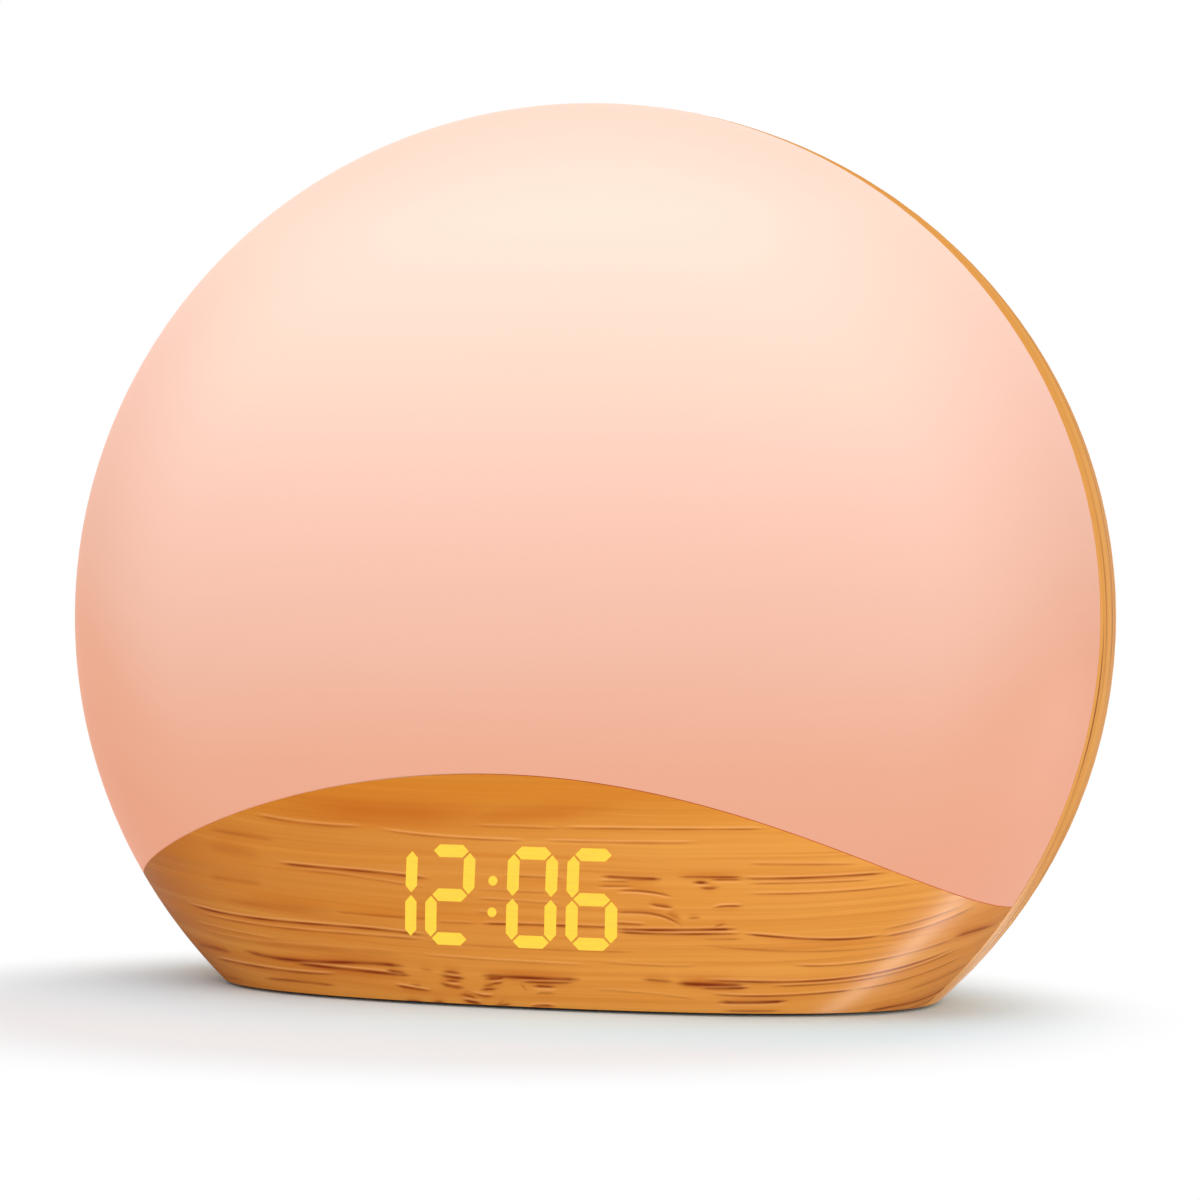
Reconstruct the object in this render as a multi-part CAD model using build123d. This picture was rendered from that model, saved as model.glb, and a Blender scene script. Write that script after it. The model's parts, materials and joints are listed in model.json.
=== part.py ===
from build123d import *
import math
import os
from functools import lru_cache

# Sunrise alarm clock. Millimetres, +Z up, the viewer's side towards -Y.
# The pieces are drawn about the rim plane, the widest plane of the body (y = 0), and
# moved at the end so that the origin lies on the table under the middle of the body.

# ---- the pebble-shaped body ---------------------------------------------------------
BODY_WIDTH = 200.0
OVAL_HEIGHT = 186.4        # whole oval, before the flat base cuts it
CENTRE_HEIGHT = 68.3       # middle of the oval above the table
FRONT_DEPTH = 35.5         # bulge in front of the rim plane
REAR_DEPTH = 40.0
FRONT_FULLNESS = 4.3       # 2 is a plain ellipse, more is flatter in the middle
REAR_FULLNESS = 6.7
FOOT_PROUD = 0.6           # the rubber foot holds the body this far off the table
ORIGIN_SHIFT = (FRONT_DEPTH - REAR_DEPTH) / 2

# ---- walls and seams ----------------------------------------------------------------
FRONT_WALL = 2.0
REAR_WALL = 2.2
SEAM_Y = -3.1              # front mouldings meet the rear shell in this plane
SEAM_GAP = 0.15
HILL_TOP = 41.0            # top of the arched seam between diffuser and base cover
HILL_RADIUS = 167.4
TONGUE = 1.2               # thickness of the lip that centres a front moulding
TONGUE_REACH = 3.0
HOOK_ANGLES = (-104, -52, 0, 52, 104)
HOOK_WIDTH = 8.0

# ---- seven-segment display ----------------------------------------------------------
DISPLAY_Z = 19.85
DIGIT_NODE_WIDTH = 7.2     # between the centre lines of the upright segments
DIGIT_NODE_RISE = 7.72     # from the middle segment to the top one
SEGMENT_WIDTH = 2.2
SEGMENT_GAP = 0.3          # from a segment's tip to the crossing of the centre lines
DIGIT_SLANT = math.tan(math.radians(4.5))
DIGIT_PITCH = 11.15
MIDDLE_PITCH = 15.6        # between the two digits beside the colon
COLON_X = 0.4
COLON_RISE = 2.75
COLON_DOT = 1.7
COVER_SKIN = 0.5           # thin translucent skin left in front of the segments
DISPLAY_BACK_Y = -25.0
SEGMENT_LED = (0.9, 0.6, 0.8)
PIPE_CLEARANCE = 0.4       # between a chip and the clear filling in front of it
SHOWN_TIME = ("1", "2", "0", "6")
LIT_SEGMENTS = {"1": "bc", "2": "abged", "0": "abcdef", "6": "acdefg"}

# ---- control panel on the back ------------------------------------------------------
PANEL_Z = 84.0
PANEL_WIDTH = 94.0
PANEL_HEIGHT = 36.0
PANEL_CORNER = 12.0
PANEL_Y = 38.2             # floor of the recess
PANEL_WALL = 2.0
BUTTON_WIDTH = 15.0
BUTTON_HEIGHT = 8.5
BUTTON_PITCH_X = 22.0
BUTTON_PITCH_Z = 16.0
BUTTON_CLEARANCE = 0.25
BUTTON_PROUD = 1.2         # above the floor of the recess
BUTTON_TRAVEL = 0.6
BUTTON_ROWS = (
    ("alarm_one", "alarm_two", "light", "brightness"),
    ("timer", "sound", "minus", "plus"),
)

# ---- pieces inside ------------------------------------------------------------------
FRAME_Y = 0.1              # front face of the inner frame's web
FRAME_WEB = 2.0
COVER_SCREW_X = 46.0       # two screws hold the base cover to the frame
COVER_SCREW_Z = 24.0
BOARD = 1.6                # thickness of every printed board
MAIN_BOARD_Y = 12.0
MAIN_BOARD_HALF = 45.0
MAIN_BOARD_ENDS = (60.0, 108.0)
DISPLAY_SCREW_X = 33.0
DISPLAY_ENDS = (9.3, 30.4)
BUTTON_BOARD_Y = 26.0
BUTTON_BOARD_SCREWS = (-44.0, -22.0, 22.0, 44.0)
SWITCH_TOP_Y = 31.0
PLUNGER_REACH = 1.0        # above and below the switch's top
LED_BOARD_Y = -6.0
LED_BOARD_HALF = (62.0, 38.0)
LED_CENTRE_Z = 96.0
LED_SIZE = 5.0
LED_RINGS = ((1, 0.0), (6, 0.32), (12, 0.62), (18, 0.88))
LIGHT_SLOT_Z = 58.0        # where the light's ribbon goes through the frame
RIBBON_WIDTH = 14.0
RIBBON = 0.4
RIBBON_BEND = 1.2
LEAD = 0.9                 # thickness of the wire leads
POWER_LEAD_PLACE = (40.5, 80.0)
SPEAKER_LEAD_Z = 70.0
SPEAKER_Z = 36.0
SPEAKER_RADIUS = 20.0
SPEAKER_SEAT_Y = 37.0
SPEAKER_SCREW_RING = 23.5
SPEAKER_TAB_Y = 30.0       # terminals on the basket
SPEAKER_TAB_Z = 54.5
GRILLE_RADIUS = 16.5
GRILLE_SLOT = 2.2
GRILLE_PITCH = 4.4
TOWER_PLACES = ((-56.0, 112.0), (56.0, 112.0), (-57.0, 22.0), (57.0, 22.0))
TOWER_RADIUS = 4.0
TOWER_TOP_Y = 31.0
SCREW_CORE = 1.5           # radius of a case screw's shank
SMALL_SCREW_CORE = 1.0
SMALL_SCREW_HOLE = SMALL_SCREW_CORE + 0.05
BOARD_HOLE = 1.3

# ---- sockets ------------------------------------------------------------------------
SOCKET_BOARD_Z = 33.4
JACK_X = 38.0
OUTLET_X = 54.0
JACK_Z = SOCKET_BOARD_Z + BOARD + 6.5
OUTLET_Z = SOCKET_BOARD_Z + BOARD + 4.6
JACK_BORE = 3.2
JACK_FACE_Y = 39.0
OUTLET_WIDTH = 13.1
OUTLET_HEIGHT = 5.7

# ---- underside ----------------------------------------------------------------------
BASE_PLATE = 2.4
PLATE_TOP = FOOT_PROUD + BASE_PLATE
FOOT_INSET = 3.8
FOOT_WIDTH = 4.7
FOOT_GROOVE = 0.8
BASE_SCREW_SEAT = FOOT_PROUD + 1.7
DOOR_Y = 13.0
DOOR_LENGTH = 34.0
DOOR_WIDTH = 25.0
CELL_RADIUS = 10.0
CELL_THICKNESS = 3.2
REAR_POST = (40.0, 26.5)
FRONT_POST = (40.0, -18.5)
POST_RADIUS = 3.0
POST_TOP = 15.0


# ---- shape helpers ------------------------------------------------------------------
def block(x, y, z):
    """Box between the two ends given for each axis."""
    size = [abs(b - a) for a, b in (x, y, z)]
    middle = [(a + b) / 2 for a, b in (x, y, z)]
    return Pos(*middle) * Box(*size)


def layer(z_ends):
    """Everything between two heights."""
    return block((-110, 110), (-60, 60), z_ends)


def rod(x, z, y_ends, radius):
    """Round bar along Y, between two depths."""
    length = y_ends[1] - y_ends[0]
    return Pos(x, sum(y_ends) / 2, z) * Rot(90, 0, 0) * Cylinder(radius, length)


def post(x, y, z_ends, radius):
    """Upright round bar between two heights."""
    return Pos(x, y, sum(z_ends) / 2) * Cylinder(radius, z_ends[1] - z_ends[0])


def slab(outline, y_ends, x=0.0, z=0.0):
    """Outline drawn in X and Z, carried from the first depth to the second."""
    plane = Plane(origin=(x, y_ends[1], z), x_dir=(1, 0, 0), z_dir=(0, -1, 0))
    return extrude(plane * outline, amount=y_ends[1] - y_ends[0], dir=(0, -1, 0))


def joined(pieces):
    """Union of a list of pieces."""
    whole = pieces[0]
    for piece in pieces[1:]:
        whole = whole + piece
    return whole


def group(pieces):
    """Separate solids kept together under one name."""
    return Compound([solid for piece in pieces for solid in piece.solids()])


def rim_radius(inset, y):
    """Half width of the body at depth y, `inset` under its skin: a superellipse."""
    depth, fullness = (FRONT_DEPTH, FRONT_FULLNESS) if y < 0 else (REAR_DEPTH, REAR_FULLNESS)
    share = 1 - (y / (depth - inset)) ** 2
    return (BODY_WIDTH / 2 - inset) * max(0.0, share) ** (1 / fullness)


def dome_curve(inset, y_from, y_to, steps=7):
    """Spline along one dome's profile between two depths on the same side of the rim."""
    side = -1 if y_from + y_to < 0 else 1
    depth, fullness = (FRONT_DEPTH, FRONT_FULLNESS) if side < 0 else (REAR_DEPTH, REAR_FULLNESS)
    radius = BODY_WIDTH / 2 - inset
    angles = []
    for y in (y_from, y_to):
        share = 1 - (y / (depth - inset)) ** 2
        angles.append(math.asin(min(1.0, max(0.0, share) ** (1 / fullness))))
    points = []
    for step in range(steps + 1):
        r = math.sin(angles[0] + (angles[1] - angles[0]) * step / steps)
        drop = math.sqrt(max(0.0, 1 - r**fullness))
        points.append((radius * r, side * (depth - inset) * drop))
    points[0], points[-1] = (points[0][0], y_from), (points[-1][0], y_to)
    return Spline(*points)


def turned_oval(outline):
    """Closed outline in X and Y turned about Y in two halves, squeezed in Z to the oval."""
    face = make_face(outline)
    oval = OVAL_HEIGHT / BODY_WIDTH
    half = scale(revolve(face, Axis.Y, 180), by=(1, 1, oval))
    whole = half + Rot(0, 180, 0) * half
    return Pos(0, 0, CENTRE_HEIGHT) * whole


@lru_cache(maxsize=None)
def pebble(inset=0.0):
    """Whole rounded body as a solid, `inset` under its skin."""
    front = dome_curve(inset, inset - FRONT_DEPTH, 0)
    rear = dome_curve(inset, 0, REAR_DEPTH - inset)
    return turned_oval([front, rear, Line(rear @ 1, front @ 0)])


@lru_cache(maxsize=None)
def front_skin(inset):
    """Thin dome between the front's outside and a surface `inset` under it."""
    outer = dome_curve(0, -FRONT_DEPTH, 0)
    inner = dome_curve(inset, 0, inset - FRONT_DEPTH)
    joins = [Line(outer @ 1, inner @ 0), Line(inner @ 1, outer @ 0)]
    return turned_oval([outer, inner] + joins)


def hill(drop=0.0):
    """Everything under the arched seam, lowered by `drop`."""
    return rod(0, HILL_TOP - HILL_RADIUS, (-60, 60), HILL_RADIUS - drop)


def above_base(y_ends, z_low=FOOT_PROUD):
    """Block that keeps what lies above the flat base and between two depths."""
    return block((-110, 110), y_ends, (z_low, 170))


def countersunk_screw(radius, length, head_radius):
    """Cross-head screw along +Z, its head's flat top at the origin."""
    head_height = head_radius - radius
    head = Pos(0, 0, -head_height / 2) * Cone(radius, head_radius, head_height)
    shank = Pos(0, 0, -length / 2) * Cylinder(radius, length)
    return (head + shank) - cross_recess(head_radius, head_height)


def pan_screw(radius, length, head_radius, head_height=None):
    """Cross-head screw along +Z with a flat-topped round head standing on the origin."""
    head_height = head_height or head_radius * 0.7
    head = Pos(0, 0, head_height / 2) * Cylinder(head_radius, head_height)
    shank = Pos(0, 0, -length / 2) * Cylinder(radius, length)
    recess = Pos(0, 0, head_height) * cross_recess(head_radius, head_height)
    return (head + shank) - recess


def cross_recess(head_radius, head_height):
    """Cross cut down into a screw's head from the origin."""
    long, thin, deep = head_radius * 1.2, head_radius * 0.3, head_height * 0.6
    bar = Box(long, thin, deep) + Box(thin, long, deep)
    return Pos(0, 0, -deep / 2) * bar


# ---- seven-segment figures ----------------------------------------------------------
def segment_points(centre, upright):
    """Six corners of one segment with 45 degree points, leaned over by the slant."""
    node_length = DIGIT_NODE_RISE if upright else DIGIT_NODE_WIDTH
    reach = node_length / 2 - SEGMENT_GAP
    half = SEGMENT_WIDTH / 2
    along = (-reach, -reach + half, reach - half, reach, reach - half, -reach + half)
    across = (0, half, half, 0, -half, -half)
    corners = zip(across, along) if upright else zip(along, across)
    points = [(centre[0] + x, centre[1] + z) for x, z in corners]
    return [(x + DIGIT_SLANT * z, z) for x, z in points]


def segment_places():
    """Letter, centre and direction of the seven segments of one digit."""
    side, rise = DIGIT_NODE_WIDTH / 2, DIGIT_NODE_RISE
    return {
        "a": ((0, rise), False),
        "b": ((side, rise / 2), True),
        "c": ((side, -rise / 2), True),
        "d": ((0, -rise), False),
        "e": ((-side, -rise / 2), True),
        "f": ((-side, rise / 2), True),
        "g": ((0, 0), False),
    }


def digit_centres():
    """Places of the four digits along X."""
    inner = MIDDLE_PITCH / 2
    return (-inner - DIGIT_PITCH, -inner, inner, inner + DIGIT_PITCH)


def display_prisms():
    """Long bars through the cover, one for each segment and dot: lit ones, then dark ones."""
    lit, dark = [], []
    y_ends = (-45.0, DISPLAY_BACK_Y)
    for shown, x in zip(SHOWN_TIME, digit_centres()):
        for letter, (centre, upright) in segment_places().items():
            outline = Polygon(*segment_points(centre, upright), align=None)
            bar = slab(outline, y_ends, x, DISPLAY_Z)
            (lit if letter in LIT_SEGMENTS[shown] else dark).append(bar)
    for rise in (COLON_RISE, -COLON_RISE):
        x = COLON_X + DIGIT_SLANT * rise
        lit.append(rod(x, DISPLAY_Z + rise, y_ends, COLON_DOT / 2))
    return lit, dark


# ---- casing -------------------------------------------------------------------------
@lru_cache(maxsize=None)
def front_moulding():
    """Front wall up to the seam, with the lip that centres it in the rear shell."""
    outer = dome_curve(0, -FRONT_DEPTH, SEAM_Y)
    step_y = SEAM_Y - 2.5
    inner = dome_curve(FRONT_WALL, step_y, FRONT_WALL - FRONT_DEPTH)
    lip_radius = rim_radius(REAR_WALL, SEAM_Y) - 0.15
    corners = [
        outer @ 1,
        (lip_radius, SEAM_Y),
        (lip_radius, SEAM_Y + TONGUE_REACH),
        (lip_radius - TONGUE, SEAM_Y + TONGUE_REACH),
        (lip_radius - TONGUE, step_y),
        inner @ 0,
    ]
    dome = turned_oval([outer, Polyline(*corners), inner, Line(inner @ 1, outer @ 0)])
    return dome & above_base((-60, 60))


def rear_bowl():
    """Rear wall from the seam round the rim to the back."""
    start = SEAM_Y + SEAM_GAP
    outlines = []
    for inset in (0, REAR_WALL):
        near = dome_curve(inset, start, 0, 2)
        far = dome_curve(inset, 0, REAR_DEPTH - inset)
        outlines.append((near, far))
    (near, far), (near_in, far_in) = outlines
    ends = [Line(near @ 0, near_in @ 0), Line(far @ 1, far_in @ 1)]
    return turned_oval([near, far, near_in, far_in] + ends) & above_base((-60, 60))


def hook_frame(angle, inset):
    """Place on the oval rim at an angle from the top, turned to face outwards."""
    turn = math.radians(angle)
    x = (BODY_WIDTH / 2 - inset) * math.sin(turn)
    z = CENTRE_HEIGHT + (OVAL_HEIGHT / 2 - inset) * math.cos(turn)
    return Pos(x, 0, z) * Rot(0, angle, 0)


def snap_hooks():
    """Hooks that hold the diffuser: tabs through the frame's edge with an inward barb."""
    hooks = []
    back = FRAME_Y + FRAME_WEB
    for angle in HOOK_ANGLES:
        half = HOOK_WIDTH / 2
        tab = block((-half, half), (SEAM_Y, back + 1.6), (-1.4, -0.4))
        barb = block((-half, half), (back + 0.2, back + 1.6), (-2.6, -1.0))
        hooks.append(hook_frame(angle, REAR_WALL) * (tab + barb))
    return joined(hooks)


def front_diffuser():
    """Milky dome: everything of the front above the arched seam, with its lip and hooks."""
    return (front_moulding() - hill(-SEAM_GAP)) + snap_hooks()


def cover_posts():
    """Posts inside the base cover: two for the frame, two for the display board."""
    posts = []
    for side in (-1, 1):
        posts.append(rod(side * COVER_SCREW_X, COVER_SCREW_Z, (-33, FRAME_Y - 0.1), 3.5))
        posts.append(rod(side * DISPLAY_SCREW_X, DISPLAY_Z, (-36, DISPLAY_BACK_Y), 2.6))
    return posts


def base_posts(place, wall_y):
    """Pair of posts that take the screws of the bottom plate, ribbed to the near wall."""
    x, y = place
    z_ends = (PLATE_TOP + 0.1, POST_TOP)
    posts = []
    for side in (-x, x):
        rib = block((side - 0.8, side + 0.8), (y, wall_y), z_ends)
        posts.append(post(side, y, z_ends, POST_RADIUS) + rib)
    return posts


def base_front_cover(lit, dark):
    """Cover under the arched seam, thinned behind the display so that it shines through."""
    shell = front_moulding() & hill()
    inside = pebble(FRONT_WALL / 2) & above_base((-60, 60))
    for part in cover_posts() + base_posts(FRONT_POST, -30.0):
        shell = shell + (part & inside)
    cells = joined(lit + dark) & pebble(COVER_SKIN)
    plate_seat = pebble(FRONT_WALL + 0.1) & layer((0, PLATE_TOP + 0.1))
    shell = shell - cells - joined(lit) - plate_seat
    for side in (-1, 1):
        shell = shell - rod(side * COVER_SCREW_X, COVER_SCREW_Z, (-14, 0), SCREW_CORE + 0.05)
        shell = shell - rod(side * DISPLAY_SCREW_X, DISPLAY_Z, (-30, DISPLAY_BACK_Y),
                            SMALL_SCREW_HOLE)
        shell = shell - post(side * FRONT_POST[0], FRONT_POST[1], (0, POST_TOP - 3),
                             SMALL_SCREW_HOLE)
    return shell


def lit_digits(lit):
    """The lit areas of the cover's skin: the time, flush with the front."""
    return group([bar & front_skin(COVER_SKIN) for bar in lit])


def button_places():
    """Name and place (x, z) of each button; the rows run from -X to +X."""
    places = {}
    for row, names in enumerate(BUTTON_ROWS):
        for column, name in enumerate(names):
            x = (column - 1.5) * BUTTON_PITCH_X
            places[name] = (x, PANEL_Z + (0.5 - row) * BUTTON_PITCH_Z)
    return places


def grille_slots():
    """Rounded slots inside a circle, one above the other."""
    slots = []
    for step in range(-3, 4):
        rise = step * GRILLE_PITCH
        length = 2 * math.sqrt(GRILLE_RADIUS**2 - rise**2)
        slots.append(slab(SlotOverall(length, GRILLE_SLOT), (34, 45), 0, SPEAKER_Z + rise))
    return slots


def speaker_screw_places():
    """Three places round the speaker's flange."""
    turns = [math.radians(angle) for angle in (-120, 0, 120)]
    ring = SPEAKER_SCREW_RING
    return [(ring * math.sin(turn), SPEAKER_Z + ring * math.cos(turn)) for turn in turns]


def rear_shell_solids():
    """Local pads, seats and posts moulded on the inside of the rear shell."""
    pads = [
        slab(RectangleRounded(PANEL_WIDTH + 5, PANEL_HEIGHT + 5, PANEL_CORNER + 2),
             (PANEL_Y - PANEL_WALL, 41), 0, PANEL_Z),
        rod(0, SPEAKER_Z, (SPEAKER_SEAT_Y, 41), SPEAKER_RADIUS + 0.5)
        - rod(0, SPEAKER_Z, (30, 41), 17.5),
        block((29, 63), (36.4, 41), (32, 49)),
    ]
    for x, z in TOWER_PLACES:
        pads.append(rod(x, z, (TOWER_TOP_Y + 0.1, 41), TOWER_RADIUS + 1))
    for x, z in speaker_screw_places():
        pads.append(rod(x, z, (35.0, 41), 2.4))
    for x in BUTTON_BOARD_SCREWS:
        pads.append(rod(x, PANEL_Z, (BUTTON_BOARD_Y + BOARD, 41), 2.2))
    for x in (31.5, 46, 60.0):
        pads.append(block((x - 0.8, x + 0.8), (22, 41), (SOCKET_BOARD_Z - 6, SOCKET_BOARD_Z)))
    return pads + base_posts(REAR_POST, 36.0)


def rear_shell():
    """Rear bowl with the control panel, speaker grille, sockets and screw seats."""
    shell = rear_bowl()
    room = pebble(REAR_WALL / 2) & above_base((SEAM_Y + SEAM_GAP, 60))
    for part in rear_shell_solids():
        shell = shell + (part & room)
    panel = RectangleRounded(PANEL_WIDTH, PANEL_HEIGHT, PANEL_CORNER)
    shell = shell - slab(panel, (PANEL_Y, 45), 0, PANEL_Z)
    gap = 2 * BUTTON_CLEARANCE
    hole = RectangleRounded(BUTTON_WIDTH + gap, BUTTON_HEIGHT + gap, BUTTON_HEIGHT / 2 + 0.2)
    for x, z in button_places().values():
        shell = shell - slab(hole, (34, 45), x, z)
    for slot in grille_slots():
        shell = shell - slot
    shell = shell - rod(JACK_X, JACK_Z, (30, 45), 4.2)
    outlet = RectangleRounded(OUTLET_WIDTH + 0.5, OUTLET_HEIGHT + 0.5, 0.6)
    shell = shell - slab(outlet, (30, 45), OUTLET_X, OUTLET_Z)
    for x, z in TOWER_PLACES:
        shell = shell - rod(x, z, (34.0, 45), 3.3) - rod(x, z, (28, 40), SCREW_CORE + 0.2)
    for x, z in speaker_screw_places():
        shell = shell - rod(x, z, (33, 37.6), 0.95)
    for x in BUTTON_BOARD_SCREWS:
        shell = shell - rod(x, PANEL_Z, (24, 34), 0.95)
    for x in (-REAR_POST[0], REAR_POST[0]):
        shell = shell - post(x, REAR_POST[1], (0, POST_TOP - 3), SMALL_SCREW_HOLE)
    return shell


# ---- inner frame --------------------------------------------------------------------
def mid_frame():
    """White frame: web across the body, light shelf under the seam, towers and board posts."""
    web = pebble(REAR_WALL + 0.2) & above_base((FRAME_Y, FRAME_Y + FRAME_WEB), 9.0)
    shelf = (hill(0.6) - hill(2.2)) & pebble(FRONT_WALL + 1.6)
    frame = web + (shelf & above_base((-60, FRAME_Y + 0.5)))
    back = FRAME_Y + FRAME_WEB
    for x, z in TOWER_PLACES:
        frame = frame + rod(x, z, (FRAME_Y + 1, TOWER_TOP_Y), TOWER_RADIUS)
        frame = frame - rod(x, z, (TOWER_TOP_Y - 12, 40), SCREW_CORE + 0.05)
    for x, z in main_board_posts():
        frame = frame + rod(x, z, (FRAME_Y + 1, MAIN_BOARD_Y), 3.0)
        frame = frame - rod(x, z, (MAIN_BOARD_Y - 7, 20), SMALL_SCREW_HOLE)
    for x, z in led_board_posts():
        frame = frame + rod(x, z, (LED_BOARD_Y + BOARD, FRAME_Y + 1), 3.0)
        frame = frame - rod(x, z, (-10, 0), SMALL_SCREW_HOLE)
    for angle in HOOK_ANGLES:
        half = HOOK_WIDTH / 2 + 0.3
        notch = block((-half, half), (-1, 3.5), (-1.7, 2))
        frame = frame - hook_frame(angle, REAR_WALL) * notch
    for x in (-COVER_SCREW_X, COVER_SCREW_X):
        frame = frame - rod(x, COVER_SCREW_Z, (-2, back + 1), SCREW_CORE + 0.15)
    slot = RectangleRounded(RIBBON_WIDTH + 4, 5, 1.5)
    for z in (DISPLAY_Z, LIGHT_SLOT_Z):
        frame = frame - slab(slot, (-2, back + 1), 0, z)
    return frame


# ---- light --------------------------------------------------------------------------
def main_board_posts():
    """Four posts near the main board's corners."""
    inset_x, inset_z = 5.0, 6.0
    low, high = MAIN_BOARD_ENDS
    half = MAIN_BOARD_HALF - inset_x
    return [(x, z) for x in (-half, half) for z in (low + inset_z, high - inset_z)]


def led_board_posts():
    """Four posts between the outer two rings of chips."""
    reach_x, reach_z = 50.0, 28.3
    sides = [(side * reach_x, LED_CENTRE_Z) for side in (-1, 1)]
    return sides + [(0.0, LED_CENTRE_Z + side * reach_z) for side in (-1, 1)]


def led_board():
    """Oval board that carries the light's chips."""
    oval = Ellipse(*LED_BOARD_HALF)
    board = slab(oval, (LED_BOARD_Y, LED_BOARD_Y + BOARD), 0, LED_CENTRE_Z)
    for x, z in led_board_posts():
        board = board - rod(x, z, (-10, 0), BOARD_HOLE)
    return board


def led_chips():
    """Warm and coloured chips in oval rings about the middle of the board."""
    chips = []
    chip = Box(LED_SIZE, 1.4, LED_SIZE) - Pos(0, -0.7, 0) * Rot(90, 0, 0) * Cylinder(1.9, 0.8)
    y = LED_BOARD_Y - 0.7
    for count, share in LED_RINGS:
        for step in range(count):
            turn = 2 * math.pi * (step + 0.5) / count
            x = LED_BOARD_HALF[0] * share * math.cos(turn)
            z = LED_CENTRE_Z + LED_BOARD_HALF[1] * share * math.sin(turn)
            chips.append(Pos(x, y, z) * chip)
    return group(chips)


# ---- display ------------------------------------------------------------------------
def display_block(prisms):
    """Black cell block behind the cover: one cell for each segment, shaped to the wall."""
    body = block((-28.5, 28.5), (-45, DISPLAY_BACK_Y), DISPLAY_ENDS)
    return (body & pebble(FRONT_WALL + 0.1)) - joined(prisms)


def segment_light_pipes(prisms):
    """Clear fillings of the cells, from just before the chips to the cover's thin skin."""
    start = DISPLAY_BACK_Y - SEGMENT_LED[1] - PIPE_CLEARANCE
    room = pebble(COVER_SKIN) & above_base((-60, start))
    return group([bar & room for bar in prisms])


def segment_leds():
    """One small chip on the display board behind the middle of each cell."""
    places = [(COLON_X, COLON_RISE), (COLON_X, -COLON_RISE)]
    for x in digit_centres():
        places += [(x + across, rise) for (across, rise), upright in segment_places().values()]
    y = DISPLAY_BACK_Y - SEGMENT_LED[1] / 2
    chip = Box(*SEGMENT_LED)
    return group([Pos(x + DIGIT_SLANT * rise, y, DISPLAY_Z + rise) * chip for x, rise in places])


def display_board():
    """Board behind the cell block, with the block's pins soldered through it."""
    board = block((-36, 36), (DISPLAY_BACK_Y, DISPLAY_BACK_Y + BOARD), DISPLAY_ENDS)
    for x in (-DISPLAY_SCREW_X, DISPLAY_SCREW_X):
        board = board - rod(x, DISPLAY_Z, (-30, -20), BOARD_HOLE)
    pins = [
        block((x - 0.6, x + 0.6), (DISPLAY_BACK_Y + BOARD, DISPLAY_BACK_Y + BOARD + 1.2),
              (z - 0.6, z + 0.6))
        for x in range(-24, 25, 6)
        for z in (11.5, 28.5)
    ]
    return board + joined(pins)


# ---- boards behind the frame --------------------------------------------------------
def main_board():
    """Board with the clock, light and sound circuits."""
    half = MAIN_BOARD_HALF
    board = block((-half, half), (MAIN_BOARD_Y, MAIN_BOARD_Y + BOARD), MAIN_BOARD_ENDS)
    for x, z in main_board_posts():
        board = board - rod(x, z, (10, 16), BOARD_HOLE)
    return board


def board_chips():
    """Flat-topped chips with their rows of legs: control, sound, radio clock."""
    back = MAIN_BOARD_Y + BOARD
    chips = []
    for x, z, w, h in ((-8, 86, 12, 12), (20, 92, 10, 6), (22, 76, 6, 5), (-30, 92, 7, 5)):
        body = block((x - w / 2, x + w / 2), (back + 0.2, back + 1.8), (z - h / 2, z + h / 2))
        reach = w / 2 + 1
        count = int(h / 1.6)
        for step in range(count):
            leg_z = z + (step - (count - 1) / 2) * 1.4
            leg = block((x - reach, x + reach), (back, back + 0.5), (leg_z - 0.3, leg_z + 0.3))
            body = body + leg
        chips.append(body)
    return group(chips)


def board_capacitors():
    """Round cans standing on the main board."""
    back = MAIN_BOARD_Y + BOARD
    cans = []
    for x, z, radius, height in ((32, 68, 4, 9), (-32, 70, 3.2, 8), (-22, 70, 3.2, 8)):
        can = rod(x, z, (back, back + height), radius)
        groove = rod(x, z, (back + 1, back + 1.8), radius + 1) - rod(x, z, (0, 40), radius - 0.4)
        cans.append(can - groove)
    return group(cans)


def board_connectors():
    """Flat-cable sockets of the main board."""
    back = MAIN_BOARD_Y + BOARD
    sockets = []
    for z in (64.0, 104.0):
        shape = block((-9, 9), (back, back + 4.0), (z - 2.2, z + 2.2))
        mouth = block((-7.2, 7.2), (back + 1.5, back + 5), (z - 0.6, z + 0.6))
        sockets.append(shape - mouth)
    return group(sockets)


def flat_cable(points, x=0.0, width=RIBBON_WIDTH, thickness=RIBBON):
    """Flat cable: a rounded path in Y and Z, thin, across its width in X."""
    path = FilletPolyline(*points, radius=RIBBON_BEND)
    strip = Plane.YZ * trace(path, thickness)
    return Pos(x - width / 2, 0, 0) * extrude(strip, amount=width)


def display_ribbon():
    """From the display board, through the frame's slot, up to the main board's socket."""
    back = MAIN_BOARD_Y + BOARD
    start = DISPLAY_BACK_Y + BOARD
    points = [(start + 0.1, DISPLAY_Z), (6.5, DISPLAY_Z), (6.5, 56.5), (back + 4, 56.5)]
    return flat_cable(points + [(back + 7.0, 64.0), (back + 2.0, 64.0)])


def button_ribbon():
    """From the button board down to the main board's upper socket."""
    back = MAIN_BOARD_Y + BOARD
    points = [(back + 2.0, 104.0), (back + 7.0, 104.0), (back + 7.0, 98.0)]
    return flat_cable(points + [(BUTTON_BOARD_Y - 0.1, 98.0)])


def light_ribbon():
    """From the back of the light's board, through the frame, to the main board's front."""
    start, bend_y = LED_BOARD_Y + BOARD + 0.1, 7.5
    points = [(start, LIGHT_SLOT_Z + 4), (-1.2, LIGHT_SLOT_Z + 4), (-1.2, LIGHT_SLOT_Z)]
    points += [(bend_y, LIGHT_SLOT_Z), (bend_y, 65.0), (MAIN_BOARD_Y - 0.1, 65.0)]
    return flat_cable(points)


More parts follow.
